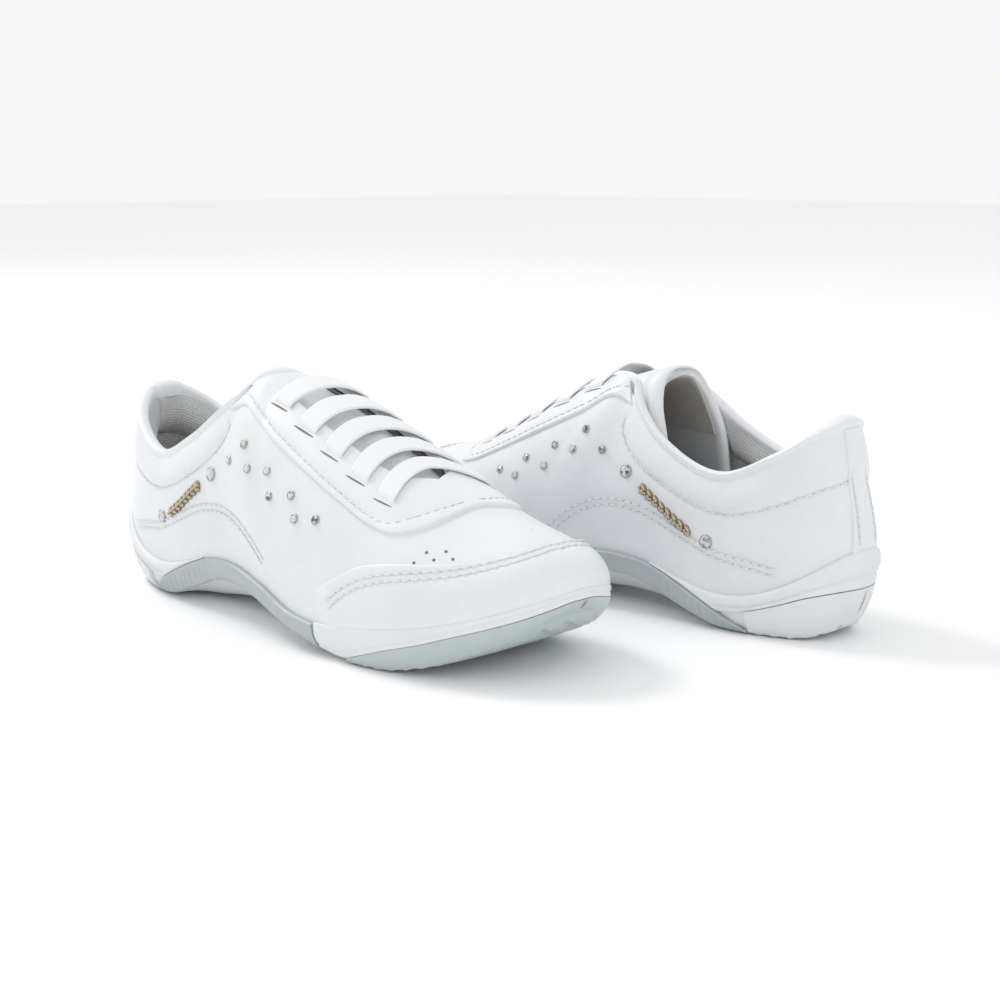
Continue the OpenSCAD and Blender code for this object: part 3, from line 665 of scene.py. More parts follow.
# ---- Stitch lines, as [t, v] stations on one side ----
CAP_ROW = [[.625, .075], [.64, .115], [.655, .15], [.675, .187], [.698, .218], [.72, .238],
           [.75, .265], [.787, .30], [.823, .34], [.858, .385], [.888, .43], [.92, .495],
           [.955, .57], [.98, .61], [1, .625]]
COLLAR_ROW = [[0, .575], [.05, .575], [.1, .578], [.155, .60], [.208, .625], [.26, .655], [.31, .682],
              [.355, .684], [.388, .68], [.417, .685], [.443, .70], [.462, .74], [.468, .80], [.46, .88]]
STAY_ROW = [[.484, .91], [.497, .84], [.515, .765], [.55, .682], [.6, .618], [.65, .562], [.688, .52],
            [.712, .53], [.743, .645], [.77, .80], [.786, .93]]
SWEEP_ROW = [[.20, .10], [.245, .22], [.30, .30], [.36, .33], [.42, .30], [.47, .22], [.51, .10]]


def both_ways(row):
    """One seam running from the lateral side round the toe to the medial side."""
    row = np.asarray(row, float)
    back = row[::-1][1:].copy()
    back[:, 0] = 2 - back[:, 0]
    return np.concatenate([row, back])


def round_heel(row):
    """One seam running from the medial side round the heel to the lateral side."""
    row = np.asarray(row, float)
    back = row[::-1][:-1].copy()
    back[:, 0] = -back[:, 0]
    return np.concatenate([back, row])


def medial(row):
    row = np.asarray(row, float).copy()
    row[:, 0] = 2 - row[:, 0]
    return row


# How far a row sewn through an overlay stands off the upper, and the gap between paired rows
LIFT = 1.1
ROW_GAP = 2.6
cap_seams = [Seam(both_ways(CAP_ROW), LIFT * 0.8, s) for s in (0.0, ROW_GAP)]
collar_seams = [Seam(round_heel(COLLAR_ROW), 0.0)]
stay_seams = [Seam(r, LIFT) for r in (STAY_ROW, medial(STAY_ROW))]
strip_seams = [Seam([[q, .04], [q, .3], [q, .6], [q, .88]], LIFT) for q in (-.034, .034)]
sweep_seams = [Seam(r, 0.0, s) for r in (SWEEP_ROW, medial(SWEEP_ROW)) for s in (0.0, ROW_GAP)]
all_seams = cap_seams + collar_seams + stay_seams + strip_seams + sweep_seams


# ---- Upper ----
def quarter_puff(q, v):
    """The padded collar swells between its stitched edge and the rim."""
    t = t_of(q)
    edge = along(COLLAR_V, np.minimum(t, 0.46)) + 0.25 * ease((t - 0.44) / 0.06)
    u = np.clip((v - edge) / np.maximum(1 - edge, 0.05), 0, 1)
    swell = 1.5 * np.sin(np.pi * u ** 0.75) ** 0.8 * (1 - ease((t - 0.42) / 0.07))
    return swell * (0.35 + 0.65 * ease(t / 0.09))


def margin(t):
    """Lower edge of a lasted panel, turned under inside the sole unit."""
    return np.full(np.shape(t), -0.16)


def make_quarter(foot, name, q):
    def puff(q, v):
        return quarter_puff(q, v) - 0.15 * ease((t_of(q) - 0.58) / 0.02)

    cols, seams = edge_columns(58, 1.15), collar_seams + sweep_seams
    out, inner, uv = sheet_grid(q, margin, quarter_top, cols, seams, puff)
    shell_piece(foot, name, out, inner, uv, LEATHER_MAT, "upper_leather", (name,))


def make_vamp(foot):
    side = np.concatenate([np.linspace(0.598, THROAT_END, 36), np.linspace(THROAT_END, 1, 80)[1:]])
    q = np.concatenate([side, 2 - side[::-1][1:]])
    cols = edge_columns(66, 1.2)

    def top(t):
        return np.where(t < THROAT_END - SNUG, along(THROAT_V, t), 1.0)

    def sunk(q, v):
        return -0.15 * (1 - ease((t_of(q) - 0.6) / 0.02))

    out, inner, uv = sheet_grid(q, margin, top, cols, cap_seams, sunk, round_at=(False, False))
    t = t_of(q)
    # Both sides share the ridge in front of the throat
    ahead = t >= THROAT_END - SNUG
    out[ahead, -1] = skin(t[ahead], 1.0, clouded(upper(t[ahead], 1.0), 14, 0.1))
    closed = ahead[:-1] & ahead[1:]
    piece = shell_piece(foot, "vamp", out, inner, uv, LEATHER_MAT, "upper_leather", ("vamp",), closed)
    weld(piece)


def overlay(foot, name, q, v, proud, back):
    """Layer sewn on over the upper: proud of it outside, its underside at back."""
    return shell_piece(foot, name, skin(q, v, proud), skin(q, v, back), weave(upper(q, v)),
                       OVERLAY_MAT, "upper_leather", (name,))


def make_toe_cap(foot):
    q = np.linspace(0.607, 1.393, 190)[:, None]
    t = t_of(q)
    top = along(CAP_V, t) + 0.075
    cols = edge_columns(30, 1.0)[None]
    v = top * cols
    base = upper(q, v)
    away = lengths(base, 1)[:, -1:] - lengths(base, 1)
    ends = np.minimum(lengths(base, 0), lengths(base, 0)[-1:] - lengths(base, 0))
    lift = 0.95 * rounded(away, 0.9) * (0.15 + 0.85 * ease(ends / 9)) * rounded(ends, 0.9)
    d = lift - crease(base, cap_seams, 0.35) * ease(away / 1.5) + clouded(base, 14, 0.1)
    overlay(foot, "toe_cap", q, v, d, -0.35)


def make_back_strip(foot):
    q = np.linspace(-1, 1, 25)[:, None]
    v = np.linspace(0.0, 0.935, 60)[None]
    width = 0.043 + 0.014 * (1 - v) ** 2
    qq = q * width
    v = v + 0 * q
    base = upper(qq, v)
    run = lengths(base, 0)
    away = np.minimum(run, run[-1:] - run)
    d = 1.0 * rounded(away, 0.9) + clouded(base, 14, 0.05) - crease(base, strip_seams, 0.35)
    d = d + quarter_puff(qq, v)
    overlay(foot, "back_strip", qq, v, d, quarter_puff(qq, v) - 0.3)


def stay_spot(a, b):
    """Point of the eyestay in (t, v): a from the lobe to the front, b from its outer edge inwards."""
    a, b = np.broadcast_arrays(a, b)
    ta, tb = lerp(0.46, 0.81, a), lerp(0.49, 0.73, a)
    return lerp(ta, tb, b), lerp(along(STAY_V, ta), along(THROAT_V, tb), b)


def make_eyestay(foot):
    a = np.linspace(0, 1, 130)[:, None]
    b = edge_columns(14, 0.9)[None]
    t, v = stay_spot(a, b)
    q = np.concatenate([t, (2 - t)[::-1][1:]])
    v = np.minimum(np.concatenate([v, v[::-1][1:]]), 1)
    base = upper(q, v)
    across = lengths(base, 1)
    away = np.minimum(across, across[:, -1:] - across)
    run = lengths(base, 0)
    ends = np.minimum(run, run[-1:] - run)
    d = 1.35 * rounded(away, 1.3) * rounded(ends, 1.3) - crease(base, stay_seams, 0.35)
    d = d + clouded(base, 14, 0.05)
    overlay(foot, "eyestay", q, v, d, -0.25)


RIM_END = 0.478


def collar_pad_depth(u, t):
    swell = 5.3 * np.sin(np.pi * np.clip(u, 0, 1) ** 0.8) * (1 - 0.6 * ease((t - 0.36) / 0.08))
    return 2.7 + 2.5 * (1 - ease(t / 0.16)) * ease((u - 0.5) / 0.4) + swell


def make_collar(foot):
    """Leather binding rolled over the rim, and the padded knit collar inside it."""
    q = np.linspace(-RIM_END, RIM_END, 300)[:, None]
    t = t_of(q)
    # Binding: an arc of section from the outside, over the rim, to the inside
    turn = np.linspace(0, np.pi, 15)[None]
    out = upper_out(q, 0.985)
    head = upper(q, 0.985)
    rise = unit(upper(q, 1.0) - upper(q, 0.95))
    puffed = quarter_puff(q, 0.965)

    # The roll is fattest round the back of the heel
    roll = 2.5 + 2.3 * (1 - ease(t / 0.16))

    def arc(thin, drop, swell):
        side = np.cos(turn)[..., None]
        up = np.sin(turn)[..., None]
        radius = (roll - thin)[..., None]
        mid = head - (out * (roll - 1.6)[..., None] + rise * 0.85 * (roll - 2.5)[..., None])
        reach = radius + (swell * np.maximum(side[..., 0], 0))[..., None]
        p = mid + out * side * reach + rise * up * radius * 0.85
        low_share = np.interp(turn, [0, 0.23, 0.45, np.pi - 0.25, np.pi - 0.22], [1, 0.55, 0, 0, 1])
        tuck_share = np.interp(turn, [0, 0.23, 0.45], [1, 0.35, 0])
        return p - rise * (drop * low_share)[..., None] - out * (1.5 * tuck_share)[..., None]

    outer, inner = arc(0.0, 2.4, puffed * 0.5), arc(1.0, 2.6, puffed * 0.5)
    shell_piece(foot, "collar_binding", outer, inner, weave(outer), OVERLAY_MAT, "upper_leather")
    # Padding
    u = edge_columns(26, 1.2)[None]
    v = lerp(along(COLLAR_V, np.minimum(t, 0.46)) - 0.01, 0.985, u)
    deep = -collar_pad_depth(u, t)
    base = upper(q, v)
    deep = deep + clouded(base, 9, 0.18)
    face = skin(q, v, deep)
    back = skin(q, v, -LEATHER - 0.35)
    pad = shell_piece(foot, "padded_collar", face, back, weave(face), KNIT_MAT, "lining_mesh",
                      ("padded_collar",))
    # Lining below it
    v = lerp(np.maximum(0.02, (along(BOARD_Z, t) + 2.8 - along(FEATHER_Z, t)) / 50),
             along(COLLAR_V, np.minimum(t, 0.46)), np.linspace(0, 1, 24)[None])
    face = skin(q, v, -LEATHER - 2.1 + clouded(upper(q, v), 9, 0.12))
    back = skin(q, v, -LEATHER - 1.5)
    shell_piece(foot, "collar_lining", face, back, weave(face), KNIT_MAT, "lining_mesh", ("collar_lining",))


# ---- Tongue ----
# s runs from the tongue's sewn end (0) under the throat (1) to its free edge (FLAP_S), w across it
TONGUE_END, FLAP_START, FLAP_S = 0.735, 0.555, 1.4
UNDER_LOBES = 2.4


def under(s, w):
    """Depth under the skin: the middle swells up in the open throat, then dips under the lobes."""
    swell = ease(1 - np.abs(w) / 0.12) * ease((s - 0.12) / 0.3) * (1 - 2 * ease((s - 0.6) / 0.4))
    return UNDER_LOBES - UNDER_LOBES * swell


def tongue_share(s, w):
    """Share of the way down from the ridge: the tongue widens towards its free edge."""
    return w * lerp(0.2, 0.54, s)


def laid(s, w, deep):
    """Point deep under the skin; the sheet is laid level across the ridge."""
    t, share = np.broadcast_arrays(lerp(TONGUE_END, FLAP_START, s), tongue_share(s, w))
    on = instep(t, share, 0)
    n = instep(t, share, 1) - on
    n = unit(n * vec(1, ease(np.abs(share) / 0.12), 1))
    return on - np.asarray(deep, float)[..., None] * n


def covered(s, w):
    return laid(s, w, under(s, tongue_share(s, w)))


def free_edge(w):
    a = np.abs(w)
    return vec(along(FLAP_X, a), np.sign(w) * along(FLAP_Y, a), along(FLAP_Z, a))


def tongue_point(s, w):
    s, w = np.broadcast_arrays(np.asarray(s, float), np.asarray(w, float))
    k = np.minimum(s, 1.0)
    on = covered(k, w)
    e = 0.02
    deep = UNDER_LOBES
    far = covered(1, w) + ((s - 1) / e)[..., None] * (laid(1, w, deep) - laid(1 - e, w, deep))
    beyond = far + (free_edge(w) - far) * ease((s - 1) / (FLAP_S - 1))[..., None]
    return np.where((s > 1)[..., None], beyond, on)


def tongue_out(s, w):
    e = 0.01
    return unit(np.cross(tongue_point(s, w + e) - tongue_point(s, w - e),
                         tongue_point(s + e, w) - tongue_point(s - e, w)))


def make_tongue(foot):
    s = np.concatenate([np.linspace(0, 1.0, 70)[:-1], np.linspace(1.0, FLAP_S - 0.02, 60)])[:, None]
    w = spread(61, 0.35)[None] * 2 - 1
    base, out = tongue_point(s, w), tongue_out(s, w)
    along_s, across = lengths(base, 0), lengths(base, 1)
    side = np.minimum(across, across[:, -1:] - across)
    tip = along_s[-1:] - along_s
    away = np.minimum(side, tip)
    full = rounded(away, 4.2)
    # A stitched channel behind the rolled edge
    groove = 0.9 * np.exp(-(((away - 7.5) / 1.1) ** 2)) * ease(away / 3)
    puff = 0.9 * ease((s - 0.9) / 0.3) * (1 - np.abs(w) ** 4)
    mid = TONGUE_PAD / 2
    top = base - out * (mid - full * mid)[..., None] + out * (puff - groove)[..., None]
    bottom = base - out * (mid + full * mid)[..., None]
    pad = shell_piece(foot, "tongue", top, bottom, weave(base), LEATHER_MAT, "upper_leather",
                      ("tongue",), flap=True, sharp=70)
    keep_s, keep_w = slice(0, -10), slice(8, -8)
    face = bottom[keep_s, keep_w] - out[keep_s, keep_w] * 0.35
    back = bottom[keep_s, keep_w] + out[keep_s, keep_w] * 0.8
    shell_piece(foot, "tongue_lining", face, back, weave(face), TONGUE_KNIT_MAT, "tongue_fabric",
                ("tongue_lining",), flap=True)


# ---- Elastic lace bars ----
BARS = 5
BAR_W = 9.2
BAR_T = 1.2
# Half a bar's width as a share of the shoe's length, where the bars cross the throat
HALF_BAR = BAR_W / 2 / 400


def bar_frame(k):
    share = k / (BARS - 1)
    return lerp(0.555, 0.7, share), lerp(0.235, 0.39, share)


def make_lace_bars(foot):
    bars, maps = [], []
    w = np.linspace(-1, 1, 61)[:, None]
    e = spread(13, 0.6)[None] * 2 - 1
    for k in range(BARS):
        t, reach = bar_frame(k)
        # The bar is pulled in a little at both ends, where it enters its slits
        half = HALF_BAR * (1 - 0.1 * np.abs(w) ** 3)
        tt = t + e * half + 0.004 * (w + 1) * 0.5
        arch = 1.5 + 0.35 * np.abs(np.cos(w * np.pi / 2)) ** 0.75
        dive = 2.6 * ease((np.abs(w) - 0.84) / 0.16) ** 1.3
        edge = rounded((1 - np.abs(e)) * BAR_W / 2, 0.7)
        top = instep(tt, reach * w + 0 * e, arch - dive + BAR_T * (0.5 + 0.5 * edge) + 0 * e)
        below = instep(tt, reach * w + 0 * e, arch - dive + BAR_T * (0.5 - 0.5 * edge) + 0 * e)
        bars.append(shell(top, below))
        maps += [weave(top).reshape(-1, 2)] * 2
    verts, faces = gather(bars)
    add_piece(foot, "lace_bars", verts, faces, ELASTIC_MAT, "elastic", ("lace_bars",),
              np.concatenate(maps))


def make_throat_gap(foot):
    """Painted shade: a near-black knit strip laid in the gap between the tongue and the medial side of the
    throat, standing in for the deep shadow there.
    """
    t = np.linspace(0.53, 0.722, 120)[:, None]
    edge = 1 - along(THROAT_V, t)
    wide = 0.055 * ease((t - 0.53) / 0.02) * ease((0.722 - t) / 0.03) + 0.004
    w = edge + 0.03 - (wide + 0.03) * np.linspace(0, 1, 9)[None]
    deep = -1.7 - 0.2 * np.sin(np.pi * np.linspace(0, 1, 9))[None] + 0 * t
    face, back = instep(t + 0 * w, w, deep), instep(t + 0 * w, w, deep - 0.5)
    shell_piece(foot, "throat_shade_strip", face, back, weave(face), THROAT_SHADE_MAT, "tongue_fabric")


def make_slits(foot):
    """Painted shadow: dark patches at the mouths of the slits that the elastic bars go down into, standing
    in for the shade inside them.
    """
    mouths = []
    e = np.linspace(-1, 1, 21)[:, None]
    across = np.array([-1, -0.5, 0.5, 1])[None] * np.sqrt(np.maximum(1 - e**2, 0))
    for k in range(BARS):
        t, reach = bar_frame(k)
        tt = t + e * HALF_BAR * 1.05 - 0.002
        for side in (-1, 1):
            w = side * reach * 0.985 + across * 0.005
            mouths.append(shell(instep(tt, w, 1.42), instep(tt, w, 1.0)))
    verts, faces = gather(mouths)
    add_piece(foot, "slit_mouths", verts, faces, SHADOW_GAP_MAT, "upper_leather")


# ---- Stitches and holes ----
def make_stitches(foot):
    verts, faces = stitches(all_seams)
    add_piece(foot, "stitching", verts, faces, THREAD_MAT, "upper_leather", recalc=False, sharp=80)
    c, n = [], []
    for s in all_seams:
        c.append(s.p + s.t * (s.pitch / 2) + s.n * (s.lift - 0.12))
        n.append(s.n)
    c, n = np.concatenate(c), np.concatenate(n)
    # Needle holes: grey discs of painted shade between the stitches
    verts, faces = dots(c, n, 0.42, 0.1)
    add_piece(foot, "needle_holes", verts, faces, NEEDLE_HOLE_SHADE_MAT, "upper_leather", recalc=False)
    # Air holes: dark discs of painted shade where the perforations are
    spots = np.array([[.745, .36], [.76, .44], [.77, .405], [.785, .48], [.795, .435]])
    q = np.concatenate([spots[:, 0], 2 - spots[:, 0]])
    v = np.concatenate([spots[:, 1]] * 2)
    verts, faces = dots(upper(q, v), upper_out(q, v), 0.6, 0.12, 14)
    add_piece(foot, "air_holes", verts, faces, SHADOW_GAP_MAT, "upper_leather", recalc=False)


# ---- Sole unit ----
def side_band(foot, name, q, lo, hi, profile, inner_d, material, slot, cols=13):
    q = np.asarray(q, float)[:, None]
    t = t_of(q)
    u = spread(cols, 0.7)[None]
    z = lerp(lo(t), hi(t), u)
    d = profile(q, u, z)
    out = sole_side(q + 0 * u, z, d)
    inner = sole_side(q + 0 * u, z, inner_d)
    shell_piece(foot, name, out, inner, weave(out), material, slot, (name,))


def soft_edges(u, height, r):
    away = np.minimum(u, 1 - u) * height
    return rounded(away, r)


def tread_edge(t):
    return along(GROOVE_Z, t) + 0.03


def make_sole_sides(foot):
    def foxing(q, u, z):
        t = t_of(q)
        tall = along(FEATHER_Z, t) - tread_edge(t)
        line = np.exp(-(((u * tall - 1.9) / 0.45) ** 2))
        return LEDGE * (0.75 + 0.25 * soft_edges(u, tall, 0.5)) - 0.4 * line

    side_band(foot, "foxing", np.linspace(0.6005, 1.3995, 220), tread_edge,
              lambda t: along(FEATHER_Z, t) + 0.4, foxing, 0.05, SIDE_MAT, "sole_white", 25)

    def cup(q, u, z):
        t = t_of(q)
        tall = np.maximum(along(FEATHER_Z, t) - cup_low(t), 0.4)
        here = ease((0.31 - t) / 0.03)
        line = np.exp(-(((u - 0.33) * tall / 0.5) ** 2)) * here
        swell = 0.7 * np.sin(np.pi * np.clip((u - 0.33) / 0.67, 0, 1)) * here
        return (LEDGE + 0.2) * (0.3 + 0.7 * soft_edges(u, tall, 1.2)) - 0.6 * line + swell

    def cup_low(t):
        return np.where(t < 0.25, tread_edge(t), np.maximum(tread_edge(t), along(BAND_Z, t) + 0.1))

    side_band(foot, "heel_cup", np.linspace(-0.385, 0.385, 260), cup_low,
              lambda t: along(FEATHER_Z, t) + 0.4, cup, 0.05, SIDE_MAT, "sole_white", 31)

    def band(q, u, z):
        t = t_of(q)
        tall = np.maximum(along(BAND_Z, t) - along(EDGE_Z, t), 1)
        ribs = 0.5 * np.maximum(np.sin((t - 0.29) * 2 * np.pi / 0.011), 0) ** 2
        ribs = ribs * ease((0.40 - t) / 0.03) * ease((u - 0.12) / 0.1) * ease((0.8 - u) / 0.1)
        rail = 0.45 * np.exp(-((((1 - u) * tall - 0.9) / 0.7) ** 2))
        return (LEDGE + 0.4) * (0.4 + 0.6 * soft_edges(u, tall, 0.9)) - ribs + rail

    for name, q in (("lateral_arch_band", np.linspace(0.2505, 0.598, 220)),
                    ("medial_arch_band", np.linspace(1.402, 1.7495, 220))):
        side_band(foot, name, q, lambda t: along(EDGE_Z, t) + 0.15, lambda t: along(BAND_Z, t), band,
                  0.15, BAND_MAT, "band_tpu", 19)


# No slab is thinner than this
THINNEST = 0.2


def slab(foot, name, t, d, top, bottom, material, slot, treads=None, wavy=None):
    """Closed slab of the sole: side walls that follow the sole's tuck, a shaped underside, a flat top."""
    t = np.asarray(t, float)[:, None]
    rim = np.linspace(0, 1, 7)[None]
    z_top, z_edge = top(t), bottom(t, np.zeros_like(t))
    z = lerp(z_top, np.minimum(z_edge, z_top - THINNEST), rim)
    if wavy is not None:
        z[:, -1:] = np.minimum(z[:, -1:] + wavy(t), z_top - THINNEST)
    proud = (d(t) if callable(d) else d) + 0.25 * np.sin(np.pi * rim)
    left, right = sole_side(t + 0 * rim, z, proud), sole_side(2 - t + 0 * rim, z, proud)
    g = np.linspace(0, 1, 36)[None, 1:-1]
    share = 1 - np.abs(2 * g - 1)
    a, b = left[:, -1:], right[:, -1:]
    sole = a + (b - a) * g[..., None]
    sole[..., 2] = np.minimum(bottom(t, share), z_top - THINNEST)
    if wavy is not None:
        sole[..., 2] += wavy(t) * (1 - ease(share / 0.15))
    if treads is not None:
        # The grooves fade out before they reach the tips
        ends = ease((0.95 - t) / 0.05) * ease((t - 0.04) / 0.05)
        sole[..., 2] += treads(sole) * ease(share / 0.12) * ends
    over = right[:, :1] + (left[:, :1] - right[:, :1]) * g[..., None]
    ring = np.concatenate([left, sole, right[:, ::-1], over], axis=1)
    verts, faces = loft(ring)
    add_piece(foot, name, verts, faces, material, slot, (name,), sharp=40)


def underside(t, share):
    return np.maximum(0, lerp(along(EDGE_Z, t), along(KEEL_Z, t), ease(share / 0.6)))


def tread_pattern(p):
    """Chevron grooves cut up into the tread."""
    x = p[..., 0] + 0.55 * np.abs(p[..., 1] - along(SWING, 0.5))
    return 1.3 * ease((np.cos(x * 2 * np.pi / 7.5) - 0.45) / 0.35)


def make_soles(foot):
    def scallop(t):
        run = feather_x(t) * 2 * np.pi / 6.2
        return 0.7 * np.abs(np.sin(run / 2)) ** 0.7

    def groove(t):
        return along(GROOVE_Z, t)

    def heel_side(t):
        return lerp(LEDGE + 0.1, -0.25, ease((t - 0.2485) / 0.0015))

    slab(foot, "forefoot_outsole", np.linspace(0.64, 0.988, 260), LEDGE + 0.1, groove, underside,
         TREAD_MAT, "tread_rubber", tread_pattern, wavy=scallop)
    stations = np.concatenate([np.linspace(0.012, 0.248, 150), np.linspace(0.2503, 0.29, 14)])
    slab(foot, "heel_outsole", stations, heel_side, groove, underside, HEEL_TREAD_MAT,
         "tread_rubber", tread_pattern, wavy=scallop)

    def top(t):
        return along(BOARD_Z, t) - 0.3 - ease((t - 0.29) / 0.02) * ease((0.59 - t) / 0.02)

    def bottom(t, share):
        flat = (t < 0.2915) | (t > 0.638)
        return np.where(flat, along(GROOVE_Z, t) + 0.15, underside(t, share))

    t = np.concatenate([np.linspace(0.015, 0.2905, 50), np.linspace(0.2922, 0.6365, 110),
                        np.linspace(0.6385, 0.986, 60)])
    slab(foot, "midsole", t, -0.1, top, bottom, FOAM_MAT, "sole_white")


def make_sock(foot):
    t = np.linspace(0.045, 0.958, 90)[:, None]
    g = np.linspace(0, 1, 25)[None]
    z = along(BOARD_Z, t) + 2.1
    a, b = sole_side(t, z, -5.0), sole_side(2 - t, z, -5.0)
    flat = a + (b - a) * g[..., None]
    share = 1 - np.abs(2 * g - 1)
    # The liner is cupped at its sides and dished under the heel and the ball
    thick = 3.4 + 1.6 * (1 - ease(share / 0.35)) * ease((0.55 - t) / 0.2) - 0.6 * ease(share / 0.5)
    edge = rounded(share * 30, 1.5)
    face = flat + UP * (0.4 + (thick - 0.4) * (0.55 + 0.45 * edge))[..., None]
    shell_piece(foot, "sock_liner", face, flat, weave(face), SOCK_MAT, "liner_fabric", ("sock_liner",))


# ---- Trim ----
SMALL_AT = [[0.511, 0.565], [0.552, 0.495], [0.516, 0.468], [0.476, 0.56],
            [0.585, 0.455], [0.552, 0.405], [0.618, 0.405], [0.588, 0.375]]
LARGE_AT = [[0.435, 0.56], [0.306, 0.41]]
SMALL_STONE = 3.0
LARGE_STONE = 5.0
BADGE_AT = [[0.41, 0.53], [0.33, 0.42]]
BADGE_LEN = 29.0


def spot_frame(q, v):
    """Centre and axes of a piece of trim set on the upper."""
    p, n = upper(np.array(q), np.array(v)), upper_out(np.array(q), np.array(v))
    x = unit(np.cross(UP, n))
    return p, x, np.cross(n, x), n


def turned(frame_at, profile, sides):
    """Rings of points turned round a spot's axis; each ring is (radius, height, twist)."""
    p, x, y, n = frame_at
    rings = []
    for r, h, twist in profile:
        a = (np.arange(sides) + twist) * 2 * np.pi / sides
        rings.append(p + r * (np.cos(a)[:, None] * x + np.sin(a)[:, None] * y) + h * n)
    return np.array(rings)


def make_stones(foot, name, spots, size):
    """Brilliant-cut stones: a table, a ring of star facets and a ring of main facets."""
    r = size / 2 - 0.05
    cut = [(r * 0.8, -0.1, 0), (r, 0.3, 0), (r, 0.5, 0.5), (r * 0.84, 0.5 + 0.1 * size, 0),
           (r * 0.54, 0.5 + 0.2 * size, 0.5)]
    stones = [loft(turned(spot_frame(*s), cut, 8)) for s in spots]
    v, f = gather(stones)
    add_piece(foot, f"{name}_stones", v, f, STONE_MAT, "crystal", (f"{name}_stones",), sharp=8)
    cup = [(r + 0.02, 0.52, 0), (r + 0.08, 0.62, 0), (r + 0.18, 0.58, 0), (r + 0.3, 0.35, 0),
           (r + 0.33, 0.0, 0), (r + 0.05, -0.2, 0)]
    cups, claws = [], []
    for s in spots:
        at = spot_frame(*s)
        cups.append(loft(turned(at, cup, 32)))
        p, x, y, n = at
        for k in range(4):
            a = (k + 0.5) * np.pi / 2
            side = np.cos(a) * x + np.sin(a) * y
            bead = (p + side * (r + 0.05) + n * 0.42, x, y, n)
            dome = [(0.24, 0, 0), (0.27, 0.2, 0), (0.2, 0.38, 0), (0.08, 0.46, 0)]
            claws.append(loft(turned(bead, dome, 10)))
    v, f = gather(cups + claws)
    add_piece(foot, f"{name}_settings", v, f, CUP_MAT, "silver", (f"{name}_settings",), sharp=45)


def make_badge(foot):
    """A plain ornamental sprig: a beaded stem with slanted leaves in pairs, on a backing of its outline
    that is coloured dark bronze as painted shade between the leaves.
    """
    a, b = (upper(*np.array(s)) for s in BADGE_AT)
    grow = BADGE_LEN / np.linalg.norm(b - a)
    pairs = 8

    def on_bar(u, across, d):
        u = 0.5 + grow * (0.5 - u)
        q = lerp(BADGE_AT[0][0], BADGE_AT[1][0], u)
        v = lerp(BADGE_AT[0][1], BADGE_AT[1][1], u) + across / 62
        return skin(q, v, d)

    u = np.linspace(0, 1, 161)[:, None]
    e = np.linspace(-1, 1, 11)[None]
    end = np.sqrt(np.clip(np.minimum(u, 1 - u) / 0.05, 0, 1))
    half = (1.5 + 1.5 * np.abs(np.sin(u * np.pi * pairs)) ** 0.6) * end + 0.05
    lift = 0.3 + 0.5 * np.sqrt(np.maximum(1 - e**2, 0)) * end
    v, f = shell(on_bar(u, e * half, lift), on_bar(u, e * half, -0.1))
    # Backing plate: its dark colour is painted shade showing between the leaves
    add_piece(foot, "badge_shade_plate", v, f, BADGE_SHADE_MAT, "badge_metal", sharp=40)
    turn = np.linspace(0, 2 * np.pi, 16, endpoint=False)
    parts = []
    for k in range(pairs):
        for side in (-1, 1):
            mid = (k + 0.5) / pairs
            slant = side * 0.95
            rings = []
            for r, h in ((1.0, 0.4), (0.97, 0.9), (0.75, 1.3), (0.4, 1.55), (0.06, 1.6)):
                x = np.cos(turn) * 1.9 * r
                y = np.sin(turn) * 1.05 * r * (1 - 0.45 * np.cos(turn))
                gx = x * np.cos(slant) - y * np.sin(slant)
                gy = x * np.sin(slant) + y * np.cos(slant) + side * 1.55
                rings.append(on_bar(mid + gx / BADGE_LEN, gy, h))
            parts.append(loft(np.array(rings)))
    for k in range(2 * pairs + 1):
        mid = 0.02 + k / (2 * pairs) * 0.96
        rings = []
        for r, h in ((0.75, 0.5), (0.8, 1.1), (0.65, 1.65), (0.36, 1.95), (0.07, 2.0)):
            rings.append(on_bar(mid + np.cos(turn) * r / BADGE_LEN, np.sin(turn) * r, h))
        parts.append(loft(np.array(rings)))
    v, f = gather(parts)
    add_piece(foot, "badge", v, f, BADGE_MAT, "badge_metal", ("badge",), sharp=40)


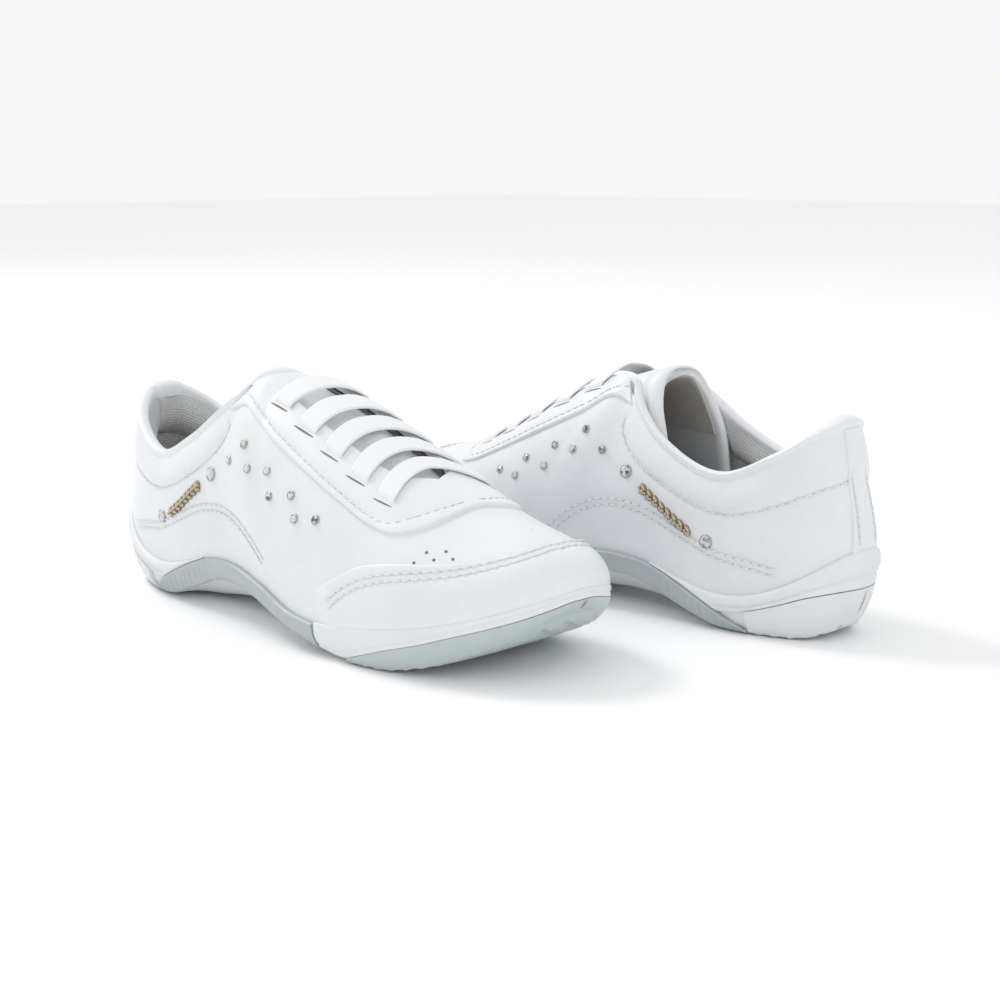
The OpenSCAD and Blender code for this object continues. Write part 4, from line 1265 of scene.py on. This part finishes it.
# ---- Both shoes ----
KEPT = {"insole_board": BOARD_MAT, "shank": STEEL_MAT, "heel_counter": STIFF_MAT,
        "toe_puff": STIFF_MAT, "badge_backing": STEEL_MAT}
for foot in ("right", "left"):
    make_quarter(foot, "lateral_quarter", np.linspace(0, QUARTER_END, 175))
    make_quarter(foot, "medial_quarter", np.linspace(2 - QUARTER_END, 2, 175))
    make_vamp(foot)
    make_toe_cap(foot)
    make_back_strip(foot)
    make_eyestay(foot)
    make_collar(foot)
    make_tongue(foot)
    make_lace_bars(foot)
    make_slits(foot)
    make_throat_gap(foot)
    make_stitches(foot)
    make_sole_sides(foot)
    make_soles(foot)
    make_sock(foot)
    make_stones(foot, "small", SMALL_AT, SMALL_STONE)
    make_stones(foot, "large", LARGE_AT, LARGE_STONE)
    make_badge(foot)
    for node, material in KEPT.items():
        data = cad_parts[f"{foot}_{node}"].data
        data.materials.clear()
        data.materials.append(material)


# ---- Stage, light and camera ----
# Where the camera stands, and how far it looks down and round, in degrees
CAMERA_AT = (0.49165, -0.47782, 0.1786)
LOOK_DOWN = 11.3
LOOK_ROUND = 45.3
PAIR_MIDDLE = (0, 0, 0.03)
FLOOR_SIZE = 12
FLOOR_DROP = 0.0003


def make_stage():
    bpy.ops.mesh.primitive_plane_add(size=FLOOR_SIZE, location=(0, 0, -FLOOR_DROP))
    floor = bpy.context.object
    floor.name = "floor"
    p = Paint("studio_floor", Roughness=0.6)
    p.set("Base Color", p.blend(p.noise(2, 2), (0.93, 0.935, 0.94), (0.95, 0.955, 0.96)))
    floor.data.materials.append(p.mat)


def area_light(name, place_at, target, size, power):
    lamp = bpy.data.lights.new(name, "AREA")
    lamp.shape = "DISK"
    lamp.size = size
    lamp.energy = power
    holder = bpy.data.objects.new(name, lamp)
    bpy.context.scene.collection.objects.link(holder)
    holder.location = place_at
    aim = Vector(target) - Vector(place_at)
    holder.rotation_euler = aim.to_track_quat("-Z", "Y").to_euler()


make_stage()
world = bpy.data.worlds.new("studio")
world.use_nodes = True
world.node_tree.nodes["Background"].inputs["Color"].default_value = (1, 1, 1, 1)
world.node_tree.nodes["Background"].inputs["Strength"].default_value = 0.93
bpy.context.scene.world = world
area_light("key", (-1.3, -0.25, 1.6), PAIR_MIDDLE, 0.7, 15)
area_light("fill", (1.5, -0.7, 1.0), PAIR_MIDDLE, 1.4, 2)

camera = bpy.data.objects.new("camera", bpy.data.cameras.new("camera"))
bpy.context.scene.collection.objects.link(camera)
camera.location = CAMERA_AT
camera.rotation_euler = (math.radians(90 - LOOK_DOWN), 0, math.radians(LOOK_ROUND))
camera.data.lens = 61.2
camera.data.sensor_width = 36
camera.data.clip_start = 0.01
bpy.context.scene.camera = camera
bpy.context.scene.view_settings.view_transform = "Standard"
